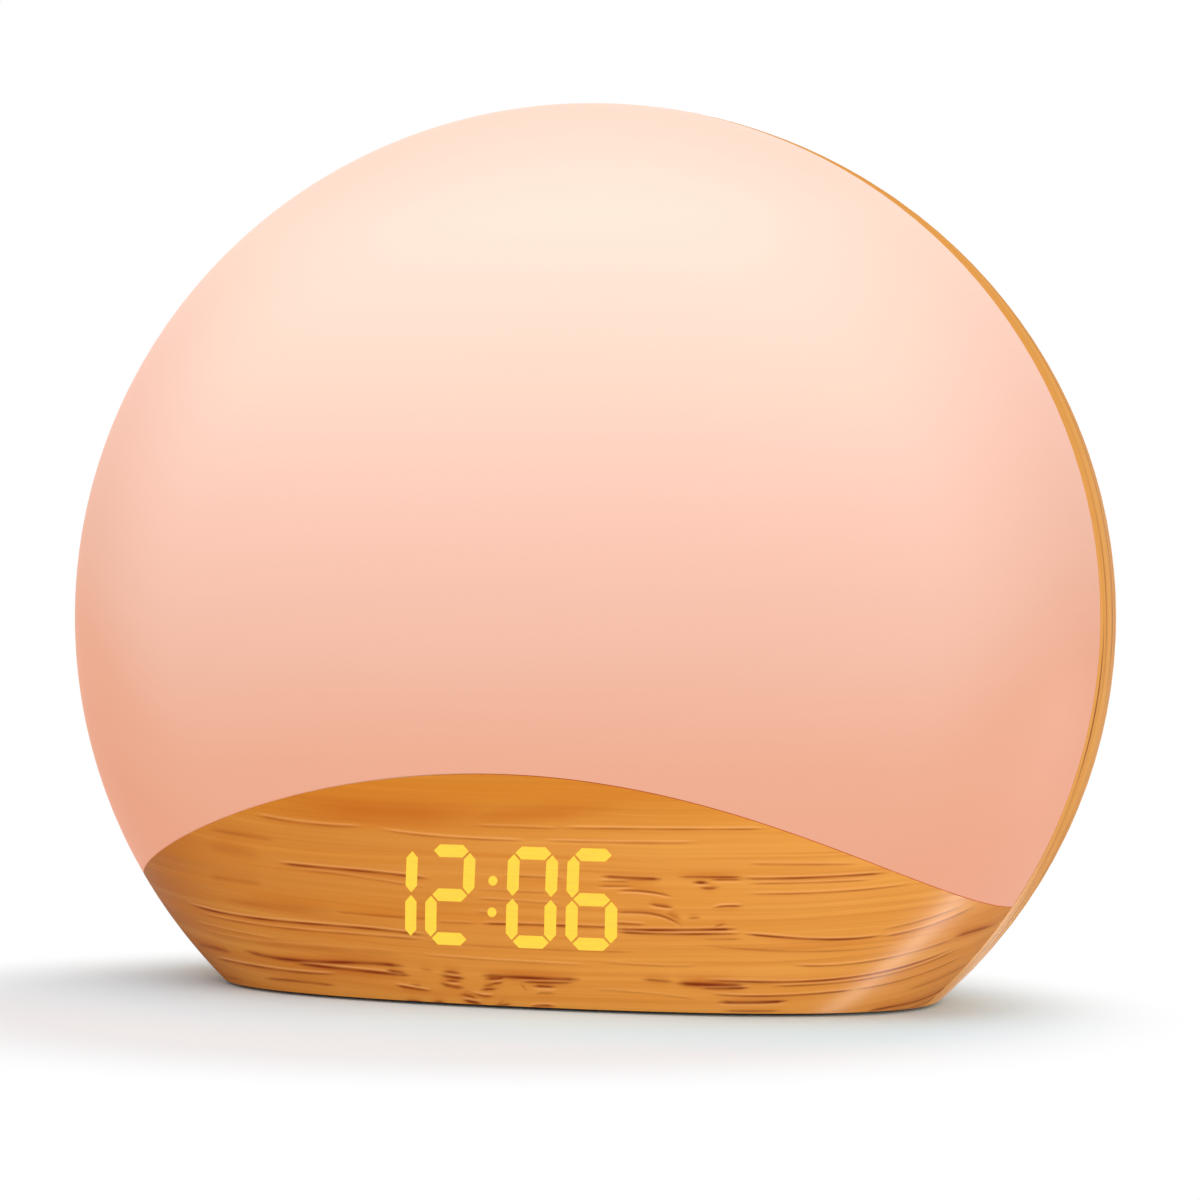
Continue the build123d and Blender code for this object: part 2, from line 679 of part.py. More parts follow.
def power_lead():
    """From the main board down to the sockets' board: wires side by side."""
    x, z = POWER_LEAD_PLACE
    hang_y = 21.0
    points = [(MAIN_BOARD_Y + BOARD + 0.1, z), (hang_y, z), (hang_y, SOCKET_BOARD_Z + BOARD + 0.1)]
    return flat_cable(points, x, 6.0, LEAD)


def speaker_lead():
    """Twin wire from the speaker's terminals up to the main board."""
    end_y = MAIN_BOARD_Y + BOARD + 0.1
    points = [(SPEAKER_TAB_Y, SPEAKER_TAB_Z + 0.1), (SPEAKER_TAB_Y, 60.0), (23.0, 60.0)]
    points += [(23.0, SPEAKER_LEAD_Z), (end_y, SPEAKER_LEAD_Z)]
    return flat_cable(points, 0.0, 2 * LEAD, LEAD)


# ---- buttons ------------------------------------------------------------------------
def button_mark(name, y):
    """Plain raised mark that fingers can tell apart."""
    ring = Circle(1.9) - Circle(1.3)
    bar = SlotOverall(4.2, 0.9)
    cross = bar + Rot(0, 0, 90) * bar
    dots = [Pos(x, 0) * Circle(0.6) for x in (-1.3, 1.3)]
    marks = {
        "plus": cross,
        "minus": bar,
        "light": ring + Circle(0.6),
        "brightness": Circle(1.9) - Pos(-1.9, 0) * Rectangle(3.8, 5),
        "alarm_one": Circle(0.8),
        "alarm_two": dots[0] + dots[1],
        "timer": ring + Pos(0, 0.7) * Rectangle(0.6, 1.6),
        "sound": RegularPolygon(2.0, 3, rotation=180),
    }
    return slab(marks[name], (y - 0.4, y + 0.2))


def button(name):
    """Push button: oblong cap, inner flange that keeps it in, and a stem to its switch."""
    top = PANEL_Y + BUTTON_PROUD
    inside = PANEL_Y - PANEL_WALL - 0.1
    cap = slab(RectangleRounded(BUTTON_WIDTH, BUTTON_HEIGHT, BUTTON_HEIGHT / 2 - 0.05),
               (inside - 0.5, top))
    cap = fillet(cap.faces().sort_by(Axis.Y)[-1].edges(), 0.6)
    flange = slab(RectangleRounded(BUTTON_WIDTH + 2.4, BUTTON_HEIGHT + 2.4, 4.0),
                  (inside - 1.0, inside))
    stem = rod(0, 0, (SWITCH_TOP_Y + PLUNGER_REACH, inside - 0.5), 2.0)
    fins = block((-4, 4), (SWITCH_TOP_Y + 2.2, inside - 0.5), (-0.5, 0.5))
    return cap + flange + stem + fins + button_mark(name, top)


def tact_switches():
    """Square switches under the buttons, each with a well for its plunger."""
    switches = []
    base = BUTTON_BOARD_Y + BOARD
    well = SWITCH_TOP_Y - PLUNGER_REACH - BUTTON_TRAVEL - 0.2
    for x, z in button_places().values():
        body = block((x - 3, x + 3), (base, SWITCH_TOP_Y), (z - 3, z + 3))
        switches.append(body - rod(x, z, (well, 40), 1.75))
    return group(switches)


def switch_plunger(x, z):
    """Round plunger of one switch, which moves with the button on it."""
    return rod(x, z, (SWITCH_TOP_Y - PLUNGER_REACH, SWITCH_TOP_Y + PLUNGER_REACH), 1.7)


def button_board():
    """Board under the control panel that carries the eight switches."""
    board = block((-47, 47), (BUTTON_BOARD_Y, BUTTON_BOARD_Y + BOARD), (67, 101))
    for x in BUTTON_BOARD_SCREWS:
        board = board - rod(x, PANEL_Z, (20, 30), 1.15)
    return board


# ---- speaker ------------------------------------------------------------------------
def turned_piece(profile):
    """Profile of (radius, depth) points turned about the speaker's axis."""
    face = make_face(Polyline(*profile, close=True))
    return Pos(0, 0, SPEAKER_Z) * revolve(face, Axis.Y, 360)


def speaker_frame():
    """Pressed basket: flange, sloping wall with four windows, terminals and a flat back."""
    basket = turned_piece([(17, 36), (20, 36), (20, 34.8), (17.8, 34.8), (12.6, 26),
                           (5, 26), (5, 27.2), (11.8, 27.2)])
    for angle in range(45, 360, 90):
        window = block((11.5, 18.5), (28, 33.5), (-4, 4))
        basket = basket - Pos(0, 0, SPEAKER_Z) * Rot(0, angle, 0) * window
    tab_y = (SPEAKER_TAB_Y - 0.6, SPEAKER_TAB_Y + 0.6)
    for side in (-1, 1):
        x_ends = (side * 0.6, side * 2.4)
        basket = basket + block(x_ends, tab_y, (SPEAKER_Z + 14.3, SPEAKER_TAB_Z))
    return basket


def speaker_cone():
    """Paper cone with its rolled edge and dust cap."""
    return turned_piece([(0, 33.2), (3, 32.6), (5, 31), (13.2, 34.2), (14.4, 35.2), (15.8, 35.0),
                         (15.8, 34.5), (14.4, 34.6), (13.5, 33.6), (5, 30.4), (0, 30.4)])


def speaker_magnet():
    """Magnet ring between its two steel plates."""
    plate = rod(0, SPEAKER_Z, (24.8, 26), 11.5)
    ring = rod(0, SPEAKER_Z, (18, 24.8), 11)
    yoke = rod(0, SPEAKER_Z, (16.5, 18), 11.5)
    return plate + ring + yoke


def speaker_gasket():
    """Foam ring between the speaker's flange and the shell."""
    return rod(0, SPEAKER_Z, (36, SPEAKER_SEAT_Y), 20) - rod(0, SPEAKER_Z, (30, 40), 17.6)


# ---- sockets ------------------------------------------------------------------------
def dc_jack():
    """Power inlet: square body with a round nose and a blind bore."""
    floor = SOCKET_BOARD_Z + BOARD
    body = block((JACK_X - 4.5, JACK_X + 4.5), (24, 36.2), (floor, floor + 11))
    nose = rod(JACK_X, JACK_Z, (36, JACK_FACE_Y), 4.0)
    return body + nose - rod(JACK_X, JACK_Z, (JACK_FACE_Y - 10, 45), JACK_BORE)


def dc_jack_pin():
    """Centre pin of the inlet, rounded at its end."""
    pin = rod(JACK_X, JACK_Z, (JACK_FACE_Y - 10, JACK_FACE_Y - 1), 1.0)
    return fillet(pin.faces().sort_by(Axis.Y)[-1].edges(), 0.6)


def usb_outlet_shell():
    """Folded metal box of the charging outlet, open to the back."""
    outer = RectangleRounded(OUTLET_WIDTH, OUTLET_HEIGHT, 0.5)
    inner = RectangleRounded(OUTLET_WIDTH - 0.6, OUTLET_HEIGHT - 0.6, 0.25)
    shell = slab(outer, (25, 39.0), OUTLET_X, OUTLET_Z)
    shell = shell - slab(inner, (25.4, 45), OUTLET_X, OUTLET_Z)
    floor = SOCKET_BOARD_Z + BOARD
    for x in (OUTLET_X - 5.5, OUTLET_X + 5.5):
        foot = block((x - 0.5, x + 0.5), (28, 31), (floor, OUTLET_Z - OUTLET_HEIGHT / 2 + 0.1))
        shell = shell + foot
    return shell


def usb_outlet_tongue():
    """Plastic tongue inside the outlet."""
    tongue = block((OUTLET_X - 5.6, OUTLET_X + 5.6), (27, 38), (OUTLET_Z + 0.3, OUTLET_Z + 2.1))
    root = block((OUTLET_X - 6.2, OUTLET_X + 6.2), (25.4, 27.5),
                 (OUTLET_Z - 2.5, OUTLET_Z + 2.5))
    return tongue + root


def socket_board():
    """Small board under the inlet and the outlet."""
    return block((30, 61), (19, 34.5), (SOCKET_BOARD_Z, SOCKET_BOARD_Z + BOARD))


# ---- underside ----------------------------------------------------------------------
def foot_band(z_ends, clearance=0.0):
    """Ring that follows the base's outline, a set depth under the body's skin."""
    inner = pebble(FOOT_INSET + FOOT_WIDTH + clearance) & layer(z_ends)
    return (pebble(FOOT_INSET - clearance) & layer(z_ends)) - inner


def foot_ring():
    """Black rubber ring let into the bottom plate."""
    return foot_band((0, FOOT_PROUD + FOOT_GROOVE))


def base_screw_places():
    """Four places under the foot ring, two for each shell."""
    return [(side * x, y) for x, y in (REAR_POST, FRONT_POST) for side in (-1, 1)]


def bottom_plate():
    """Plate that closes the underside, with the foot's groove and the cell's well."""
    plate = pebble(REAR_WALL + 0.12) & layer((FOOT_PROUD, PLATE_TOP))
    half_x, half_y = DOOR_LENGTH / 2, DOOR_WIDTH / 2
    well = block((-half_x, half_x), (DOOR_Y - half_y, DOOR_Y + half_y), (FOOT_PROUD, 8.4))
    room = block((-half_x + 4.5, half_x - 7.5), (DOOR_Y - half_y + 1.2, DOOR_Y + half_y - 1.2),
                 (0, 7.2))
    seat = door_outline(0.15, (FOOT_PROUD - 1, FOOT_PROUD + 1.6))
    plate = plate + well - room - seat - foot_band((FOOT_PROUD, FOOT_PROUD + FOOT_GROOVE), 0.1)
    for x, y in base_screw_places():
        plate = plate - post(x, y, (0, 5), BOARD_HOLE) - post(x, y, (0, BASE_SCREW_SEAT), 2.3)
    return plate - post(half_x - 3.5, DOOR_Y, (0, 7), SMALL_SCREW_HOLE)


def door_outline(clearance, z_ends):
    """Rounded block of the door's outline, grown by a clearance."""
    outline = RectangleRounded(DOOR_LENGTH - 1 + 2 * clearance, DOOR_WIDTH - 1 + 2 * clearance, 3)
    return Pos(0, DOOR_Y, z_ends[0]) * extrude(outline, amount=z_ends[1] - z_ends[0])


def battery_door():
    """Flush door over the cell, with finger ribs at one end and a countersunk hole."""
    door = door_outline(0, (FOOT_PROUD, FOOT_PROUD + 1.5))
    for step in range(4):
        x = -DOOR_LENGTH / 2 + 4 + 1.6 * step
        door = door - block((x - 0.4, x + 0.4), (DOOR_Y - 6, DOOR_Y + 6), (0, FOOT_PROUD + 0.5))
    x = DOOR_LENGTH / 2 - 3.5
    sink = Pos(x, DOOR_Y, FOOT_PROUD + 0.55) * Cone(2.15, 1.05, 1.1)
    return door - sink - post(x, DOOR_Y, (0, 4), 1.15)


def battery_door_screw():
    """Countersunk screw of the door, flush with it."""
    screw = countersunk_screw(SMALL_SCREW_CORE, 5.0, 2.0)
    return Pos(DOOR_LENGTH / 2 - 3.5, DOOR_Y, FOOT_PROUD + 0.05) * Rot(180, 0, 0) * screw


def coin_cell():
    """Button cell with its stepped rim."""
    z = FOOT_PROUD + 2.2
    can = post(-1.5, DOOR_Y, (z + 0.5, z + CELL_THICKNESS), CELL_RADIUS)
    cap = post(-1.5, DOOR_Y, (z, z + 0.6), CELL_RADIUS - 1.6)
    return can + cap


def battery_contacts():
    """Sprung strips over and under the cell."""
    z = FOOT_PROUD + 2.2 + CELL_THICKNESS
    over = block((-9, 6), (DOOR_Y - 2, DOOR_Y + 2), (z + 0.1, z + 0.4))
    riser = block((-10.5, -9), (DOOR_Y - 2, DOOR_Y + 2), (z + 0.1, z + 1.2))
    edge = block((-9, 6), (DOOR_Y - 11.0, DOOR_Y - 10.6), (z - 3.0, z - 0.4))
    return group([over + riser, edge])


# ---- fasteners ----------------------------------------------------------------------
def facing_back(x, y, z, screw):
    """Screw driven from the back: its head at depth y."""
    return Pos(x, y, z) * Rot(-90, 0, 0) * screw


def case_screws():
    """Four that close the rear shell onto the frame, two that hold the base cover."""
    long_screw = pan_screw(SCREW_CORE, 12, 2.9)
    short_screw = pan_screw(SCREW_CORE, 11, 2.9)
    screws = [facing_back(x, 34.0, z, long_screw) for x, z in TOWER_PLACES]
    back = FRAME_Y + FRAME_WEB
    for x in (-COVER_SCREW_X, COVER_SCREW_X):
        screws.append(facing_back(x, back, COVER_SCREW_Z, short_screw))
    return group(screws)


def bottom_screws():
    """Four under the rubber foot, into the posts of both shells."""
    screw = pan_screw(SMALL_SCREW_CORE, 9, 1.9, 0.8)
    places = base_screw_places()
    return group([Pos(x, y, BASE_SCREW_SEAT) * Rot(180, 0, 0) * screw for x, y in places])


def speaker_screws():
    """Three whose heads hold the edge of the speaker's flange."""
    screw = pan_screw(0.9, 2.2, 2.2)
    return group([
        Pos(x, 34.9, z) * Rot(90, 0, 0) * screw
        for x, z in speaker_screw_places()
    ])


def board_screws():
    """Small screws of the light, display, main and button boards."""
    screw = pan_screw(SMALL_SCREW_CORE, 5.5, 1.9)
    facing_front = Rot(90, 0, 0)
    screws = [facing_back(x, MAIN_BOARD_Y + BOARD, z, screw) for x, z in main_board_posts()]
    screws += [Pos(x, LED_BOARD_Y, z) * facing_front * screw for x, z in led_board_posts()]
    for x in (-DISPLAY_SCREW_X, DISPLAY_SCREW_X):
        screws.append(facing_back(x, DISPLAY_BACK_Y + BOARD, DISPLAY_Z, screw))
    thin = pan_screw(0.9, 5.5, 1.8)
    screws += [Pos(x, BUTTON_BOARD_Y, PANEL_Z) * facing_front * thin for x in BUTTON_BOARD_SCREWS]
    return group(screws)


# ---- assembly -----------------------------------------------------------------------
def pieces():
    """Every piece of the clock by name."""
    lit, dark = display_prisms()
    prisms = lit + dark
    made = {
        "front_diffuser": front_diffuser(),
        "base_front_cover": base_front_cover(lit, dark),
        "lit_digits": lit_digits(lit),
        "rear_shell": rear_shell(),
        "mid_frame": mid_frame(),
        "led_board": led_board(),
        "led_chips": led_chips(),
        "display_block": display_block(prisms),
        "segment_light_pipes": segment_light_pipes(prisms),
        "segment_leds": segment_leds(),
        "display_board": display_board(),
        "display_ribbon": display_ribbon(),
        "main_board": main_board(),
        "board_chips": board_chips(),
        "board_capacitors": board_capacitors(),
        "board_connectors": board_connectors(),
        "button_ribbon": button_ribbon(),
        "light_ribbon": light_ribbon(),
        "power_lead": power_lead(),
        "speaker_lead": speaker_lead(),
        "button_board": button_board(),
        "tact_switches": tact_switches(),
        "speaker_frame": speaker_frame(),
        "speaker_cone": speaker_cone(),
        "speaker_magnet": speaker_magnet(),
        "speaker_gasket": speaker_gasket(),
        "speaker_screws": speaker_screws(),
        "socket_board": socket_board(),
        "dc_jack": dc_jack(),
        "dc_jack_pin": dc_jack_pin(),
        "usb_outlet_shell": usb_outlet_shell(),
        "usb_outlet_tongue": usb_outlet_tongue(),
        "bottom_plate": bottom_plate(),
        "foot_ring": foot_ring(),
        "battery_door": battery_door(),
        "battery_door_screw": battery_door_screw(),
        "coin_cell": coin_cell(),
        "battery_contacts": battery_contacts(),
        "case_screws": case_screws(),
        "bottom_screws": bottom_screws(),
        "board_screws": board_screws(),
    }
    for name, (x, z) in button_places().items():
        made[f"button_{name}"] = Pos(x, 0, z) * button(name)
        made[f"plunger_{name}"] = switch_plunger(x, z)
    return made


os.makedirs("parts", exist_ok=True)
for piece_name, piece in pieces().items():
    placed = [Pos(0, ORIGIN_SHIFT, 0) * solid for solid in piece.solids()]
    export_step(Compound(placed), f"parts/{piece_name}.step")
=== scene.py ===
import json

import bpy
import numpy as np
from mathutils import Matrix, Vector


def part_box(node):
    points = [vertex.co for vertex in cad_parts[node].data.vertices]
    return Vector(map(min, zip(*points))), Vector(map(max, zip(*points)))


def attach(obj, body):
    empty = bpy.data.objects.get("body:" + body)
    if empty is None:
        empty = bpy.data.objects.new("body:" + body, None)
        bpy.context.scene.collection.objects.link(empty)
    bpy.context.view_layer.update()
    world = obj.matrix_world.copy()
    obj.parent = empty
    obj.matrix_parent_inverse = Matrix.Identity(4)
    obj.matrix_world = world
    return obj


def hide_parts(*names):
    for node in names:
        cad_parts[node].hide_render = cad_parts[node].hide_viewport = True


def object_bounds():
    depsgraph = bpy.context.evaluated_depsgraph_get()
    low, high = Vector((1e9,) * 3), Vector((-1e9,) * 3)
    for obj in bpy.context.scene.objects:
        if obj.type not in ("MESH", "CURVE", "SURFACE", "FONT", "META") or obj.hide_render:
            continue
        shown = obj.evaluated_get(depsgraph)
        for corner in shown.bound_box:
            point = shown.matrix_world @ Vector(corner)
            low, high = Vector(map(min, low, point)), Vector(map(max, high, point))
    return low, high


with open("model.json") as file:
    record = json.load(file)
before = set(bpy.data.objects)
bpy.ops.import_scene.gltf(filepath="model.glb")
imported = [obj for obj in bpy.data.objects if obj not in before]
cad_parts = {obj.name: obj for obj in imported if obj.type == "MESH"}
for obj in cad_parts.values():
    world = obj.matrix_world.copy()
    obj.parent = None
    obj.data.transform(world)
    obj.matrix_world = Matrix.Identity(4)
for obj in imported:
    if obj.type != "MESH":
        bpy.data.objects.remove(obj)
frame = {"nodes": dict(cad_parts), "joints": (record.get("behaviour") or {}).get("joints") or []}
cad_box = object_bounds()
nodes = frame["nodes"]
MM = 0.001


# ---- Camera -------------------------------------------------------------------------
# The clock is seen from its right, level with the middle of its face, through a long
# lens that keeps the oval of the body true.
CAMERA_PLACE = (252.4 * MM, -581.4 * MM, 67.8 * MM)
CAMERA_AIM = (6.0 * MM, -2.3 * MM, 71.3 * MM)
CAMERA_LENS = 104.0
CAMERA_SENSOR = 36.0

lens = bpy.data.cameras.new("bedside_view")
lens.lens = CAMERA_LENS
lens.sensor_width = CAMERA_SENSOR
lens.clip_start = 0.01
camera = bpy.data.objects.new("bedside_view", lens)
bpy.context.scene.collection.objects.link(camera)
camera.location = CAMERA_PLACE
line_of_sight = Vector(CAMERA_AIM) - Vector(CAMERA_PLACE)
camera.rotation_euler = line_of_sight.to_track_quat("-Z", "Y").to_euler()
bpy.context.scene.camera = camera
bpy.context.scene.view_settings.view_transform = "Standard"


# ---- Light dome ---------------------------------------------------------------------
# The upper part of the front: one milky moulding, 2 mm thick, lit from behind by the
# sunrise light. It glows cream at the top and salmon above the seam; painted shade makes
# it a little darker and redder towards the rim. It is clipped into the rear shell by five
# hooks.
HALF_WIDTH = cad_box[1].x
HALF_HEIGHT = 93.2 * MM
CENTRE_Z = cad_box[1].z - HALF_HEIGHT
GLOW_SHARE = 0.75
GLOW_FULL_AT = 138.0
GLOW_SPAN = 160.0
# Painted shade towards the rim: the middle of its oval in millimetres, how many millimetres lower the
# glow's colour is taken from, and the shares of the reach where it starts and is full.
RIM_SHADE_CENTRE_X = 7.5
RIM_SHADE_DROP = 34.0
RIM_SHADE_FROM = 0.70
RIM_SHADE_TO = 1.08
GLOW_DRIFT = 4.0

# Glow at a height above the table, in millimetres, as it looks on a screen.
GLOW = (
    (15.0, (234, 163, 133)), (42.0, (235, 171, 143)), (60.0, (239, 184, 161)),
    (84.0, (248, 198, 179)), (108.0, (252, 215, 196)), (138.0, (254, 230, 213)),
)


class Wire:
    """A socket of a shading; arithmetic on it adds Math nodes."""

    def __init__(self, shading, socket):
        self.shading = shading
        self.socket = socket

    def math(self, operation, *values):
        inputs = dict(enumerate(values))
        return self.shading.node("ShaderNodeMath", {"operation": operation}, inputs)

    def __add__(self, other):
        return self.math("ADD", self, other)

    __radd__ = __add__

    def __mul__(self, other):
        return self.math("MULTIPLY", self, other)

    __rmul__ = __mul__

    def __sub__(self, other):
        return self.math("SUBTRACT", self, other)

    def __rsub__(self, other):
        return self.math("SUBTRACT", other, self)

    def __truediv__(self, other):
        return self.math("DIVIDE", self, other)

    def __pow__(self, power):
        return self.math("POWER", self, power)

    def __abs__(self):
        return self.math("ABSOLUTE", self)

    def at_least(self, other):
        return self.math("MAXIMUM", self, other)

    def at_most(self, other):
        return self.math("MINIMUM", self, other)

    def fraction(self):
        return self.math("FRACT", self)

    def step(self, start, end):
        """0 before start, 1 after end, smooth between."""
        settings = {"interpolation_type": "SMOOTHSTEP"}
        inputs = {0: self, 1: start, 2: end}
        return self.shading.node("ShaderNodeMapRange", settings, inputs)


class Shading:
    """The nodes of a material or of the sky."""

    def __init__(self, tree):
        self.tree = tree

    def node(self, kind, settings=None, inputs=None, output=0):
        """Adds a node: its settings first, then the values or links of its sockets."""
        made = self.tree.nodes.new(kind)
        for setting, value in (settings or {}).items():
            if setting == "stops":
                self.set_stops(made.color_ramp, value)
            else:
                setattr(made, setting, value)
        for socket, value in (inputs or {}).items():
            self.join(value, made.inputs[socket])
        return Wire(self, made.outputs[output])

    def set_stops(self, ramp, stops):
        while len(ramp.elements) < len(stops):
            ramp.elements.new(1.0)
        for element, (place, colour) in zip(ramp.elements, stops):
            element.position = place
            element.color = colour

    def join(self, value, socket):
        if isinstance(value, Wire):
            self.tree.links.new(value.socket, socket)
        else:
            socket.default_value = value


class Finish(Shading):
    """One material: a Principled shader with its constants, and the nodes that feed it."""

    def __init__(self, name, **constants):
        self.material = bpy.data.materials.new(name)
        self.material.use_nodes = True
        super().__init__(self.material.node_tree)
        self.shader = self.tree.nodes["Principled BSDF"]
        for socket, value in constants.items():
            self.shader.inputs[socket.replace("_", " ")].default_value = value

    def feed(self, **sockets):
        """Links wires to the shader's own sockets."""
        for socket, wire in sockets.items():
            self.join(wire, self.shader.inputs[socket.replace("_", " ")])

    def place(self):
        """Point on the piece, in millimetres."""
        point = self.node("ShaderNodeTexCoord", output=3)
        return self.node("ShaderNodeVectorMath", {"operation": "SCALE"}, {0: point, 3: 1000.0})

    def split(self, vector):
        """The three parts of a vector."""
        parts = self.node("ShaderNodeSeparateXYZ", None, {0: vector})
        sockets = parts.socket.node.outputs
        return [Wire(self, socket) for socket in sockets]

    def vector(self, x, y, z):
        return self.node("ShaderNodeCombineXYZ", None, {0: x, 1: y, 2: z})

    def noise(self, vector, scale=1.0, detail=2.0, roughness=0.5):
        inputs = {"Vector": vector, "Scale": scale, "Detail": detail, "Roughness": roughness}
        return self.node("ShaderNodeTexNoise", None, inputs)

    def mix(self, share, first, second, blend="MIX"):
        """Colour mix: first where share is 0, second where it is 1."""
        settings = {"data_type": "RGBA", "blend_type": blend}
        return self.node("ShaderNodeMix", settings, {0: share, 6: first, 7: second}, 2)

    def ramp(self, value, *stops):
        return self.node("ShaderNodeValToRGB", {"stops": stops}, {0: value})

    def bump(self, height, strength, distance):
        """Surface relief; distance is in millimetres."""
        inputs = {"Strength": strength, "Distance": distance * MM, "Height": height}
        self.feed(Normal=self.node("ShaderNodeBump", None, inputs))


def shade(red, green, blue):
    """Colour as it looks on a screen, 0 to 255, as linear light."""
    share = np.array([red, green, blue]) / 255
    light = np.where(share <= 0.04045, share / 12.92, ((share + 0.055) / 1.055) ** 2.4)
    return (*light.tolist(), 1.0)


def dimmed(colour, share):
    """The same colour with its light multiplied by a share."""
    return (*[part * share for part in colour[:3]], 1.0)


def dress(names, finish):
    """Gives CAD nodes a finish."""
    for name in names:
        mesh = nodes[name].data
        mesh.materials.clear()
        mesh.materials.append(finish.material)


def opal_finish():
    """Milky plastic lit from behind. The glow's colour goes with the height; towards the rim
    it is that of a lower height, which is painted shade, and a slow drift keeps it from
    looking printed."""
    finish = Finish("milky_dome", Specular_IOR_Level=0.1, Emission_Strength=GLOW_SHARE)
    place = finish.place()
    x, y, z = finish.split(place)
    across = (x - RIM_SHADE_CENTRE_X) / (HALF_WIDTH / MM)
    up = (z - CENTRE_Z / MM) / (HALF_HEIGHT / MM)
    rim = (across * across + up * up) ** 0.5
    drift = finish.noise(finish.vector(x * 0.3, y, z), 0.05, 1.0) - 0.5
    # Painted shade: towards the rim the glow takes the colour of a lower height.
    level = z.at_most(GLOW_FULL_AT) - rim.step(RIM_SHADE_FROM, RIM_SHADE_TO) * RIM_SHADE_DROP
    level = level + drift * GLOW_DRIFT
    stops = [(height / GLOW_SPAN, shade(*colour)) for height, colour in GLOW]
    glow = finish.ramp(level / GLOW_SPAN, *stops)
    body = finish.mix(1.0, glow, (*[1 - GLOW_SHARE] * 3, 1.0), "MULTIPLY")
    grain = finish.noise(place, 6.0, 3.0)
    finish.feed(Base_Color=body, Emission_Color=glow, Roughness=0.5 + grain * 0.1)
    finish.bump(grain, 0.15, 0.02)
    return finish


dress(["front_diffuser"], opal_finish())


# ---- Base cover ---------------------------------------------------------------------
# The lower part of the front, under the arched seam: a plastic moulding with a printed
# bamboo film bonded to its face. The print's fibres run across and rise at both sides,
# dark vessels lie in them, and two bamboo nodes break them up. Two screws hold it.
FRONT_DEPTH = 35.5 * MM
FRONT_FULLNESS = 4.3
RIM_Y = cad_box[0].y + FRONT_DEPTH
SEAM_Y = -3.1 * MM
HILL_TOP = 41.0 * MM
HILL_RADIUS = 167.4 * MM
BASE_Z = 0.6 * MM
WALL = 2.0 * MM
COVER_COLUMNS = 460
COVER_ROWS = 200
COVER_INNER_ROWS = 12
HALVINGS = 40
ROW_END_FROM = 40.0 * MM
CROWDING = 0.55
SHARP_FROM = 40.0

# Rise of the print's fibres, in millimetres: with the square of the distance at the left,
# and with the skin's turn back at the right, from TURN_FROM on.
LEFT_BOW = 0.001
TURN_FROM = -20.0
TURN_SPAN = 60.0
TURN_LIFT = 10.0
TURN_POWER = 1.6

# Streaks: the points along a side of the picture and the width of one on the face, the
# stretch of a ray on which the face is looked for, the share of their length over which
# they and their stains with painted shade fade, the pale line's half thickness and gap,
# and the reach of the stains and painted shade past the streak. Widths, gaps and reach
# are in millimetres.
PICTURE_SIDE = 1200
POINT_WIDTH = 0.172
RAY_START = 560.0 * MM
RAY_END = 700.0 * MM
RAY_STEP = 0.1 * MM
END_FADE = 0.4
STAIN_AND_SHADE_FADE = 0.35
PALE_HALF = 0.17
PALE_GAP = 0.2
STAIN_AND_SHADE_MARGIN = 0.45
PRINT_LAYERS = ("vessel", "pale", "stain")

# Colours of the print, with the shade and highlight painted on it, as they look on a screen.
GROUND_LEFT = shade(200, 127, 49)
GROUND_RIGHT = shade(226, 152, 66)
# Painted shade where the skin turns back at the right.
TURNED_BACK_SHADE = shade(216, 137, 74)
# Painted shade at the far left end.
LEFT_END_SHADE = shade(176, 98, 36)
GROUND_CROWN = shade(200, 116, 6)
GROUND_WRAPPED = shade(252, 180, 86)
BROAD_BAND = shade(205, 118, 26)
DARK_BAND = shade(188, 100, 22)
PALE_BAND = shade(240, 172, 80)
FIBRE = shade(176, 94, 28)
STAIN_AND_SHADE = shade(184, 88, 10)
# Stains beside the streaks carry painted shade, and the pale line beside them a painted highlight;
# both are partly print.
PALE_LINE_AND_HIGHLIGHT = shade(250, 178, 108)
VESSEL = shade(128, 44, 0)

# Where these colours change: x and heights in millimetres, depths as a share of the
# front's. Then, in millimetres, where the rear shell's fibres run along the rim and turn
# level, and the heights above the oval's middle and depths where its streaks fade.
SIDE_FROM = -70.0
SIDE_SPAN = 150.0
# Where the painted shade lies: at the right where the skin turns back, and at the far left end.
TURNED_SHADE_X = (46.0, 76.0)
TURNED_SHADE_DEPTH = (0.3, 0.8)
LEFT_END_SHADE_X = -50.0
LEFT_END_SHADE_SPAN = 24.0
CROWN_HEIGHT = (28.0, 38.0)
CROWN_DEPTH = 0.5
LEVEL_DEPTH = (8.0, 32.0)
RIM_FLOW_DEPTH = 26.0
CALM_LEVEL = (30.0, 56.0)
CALM_DEPTH = (14.0, 30.0)
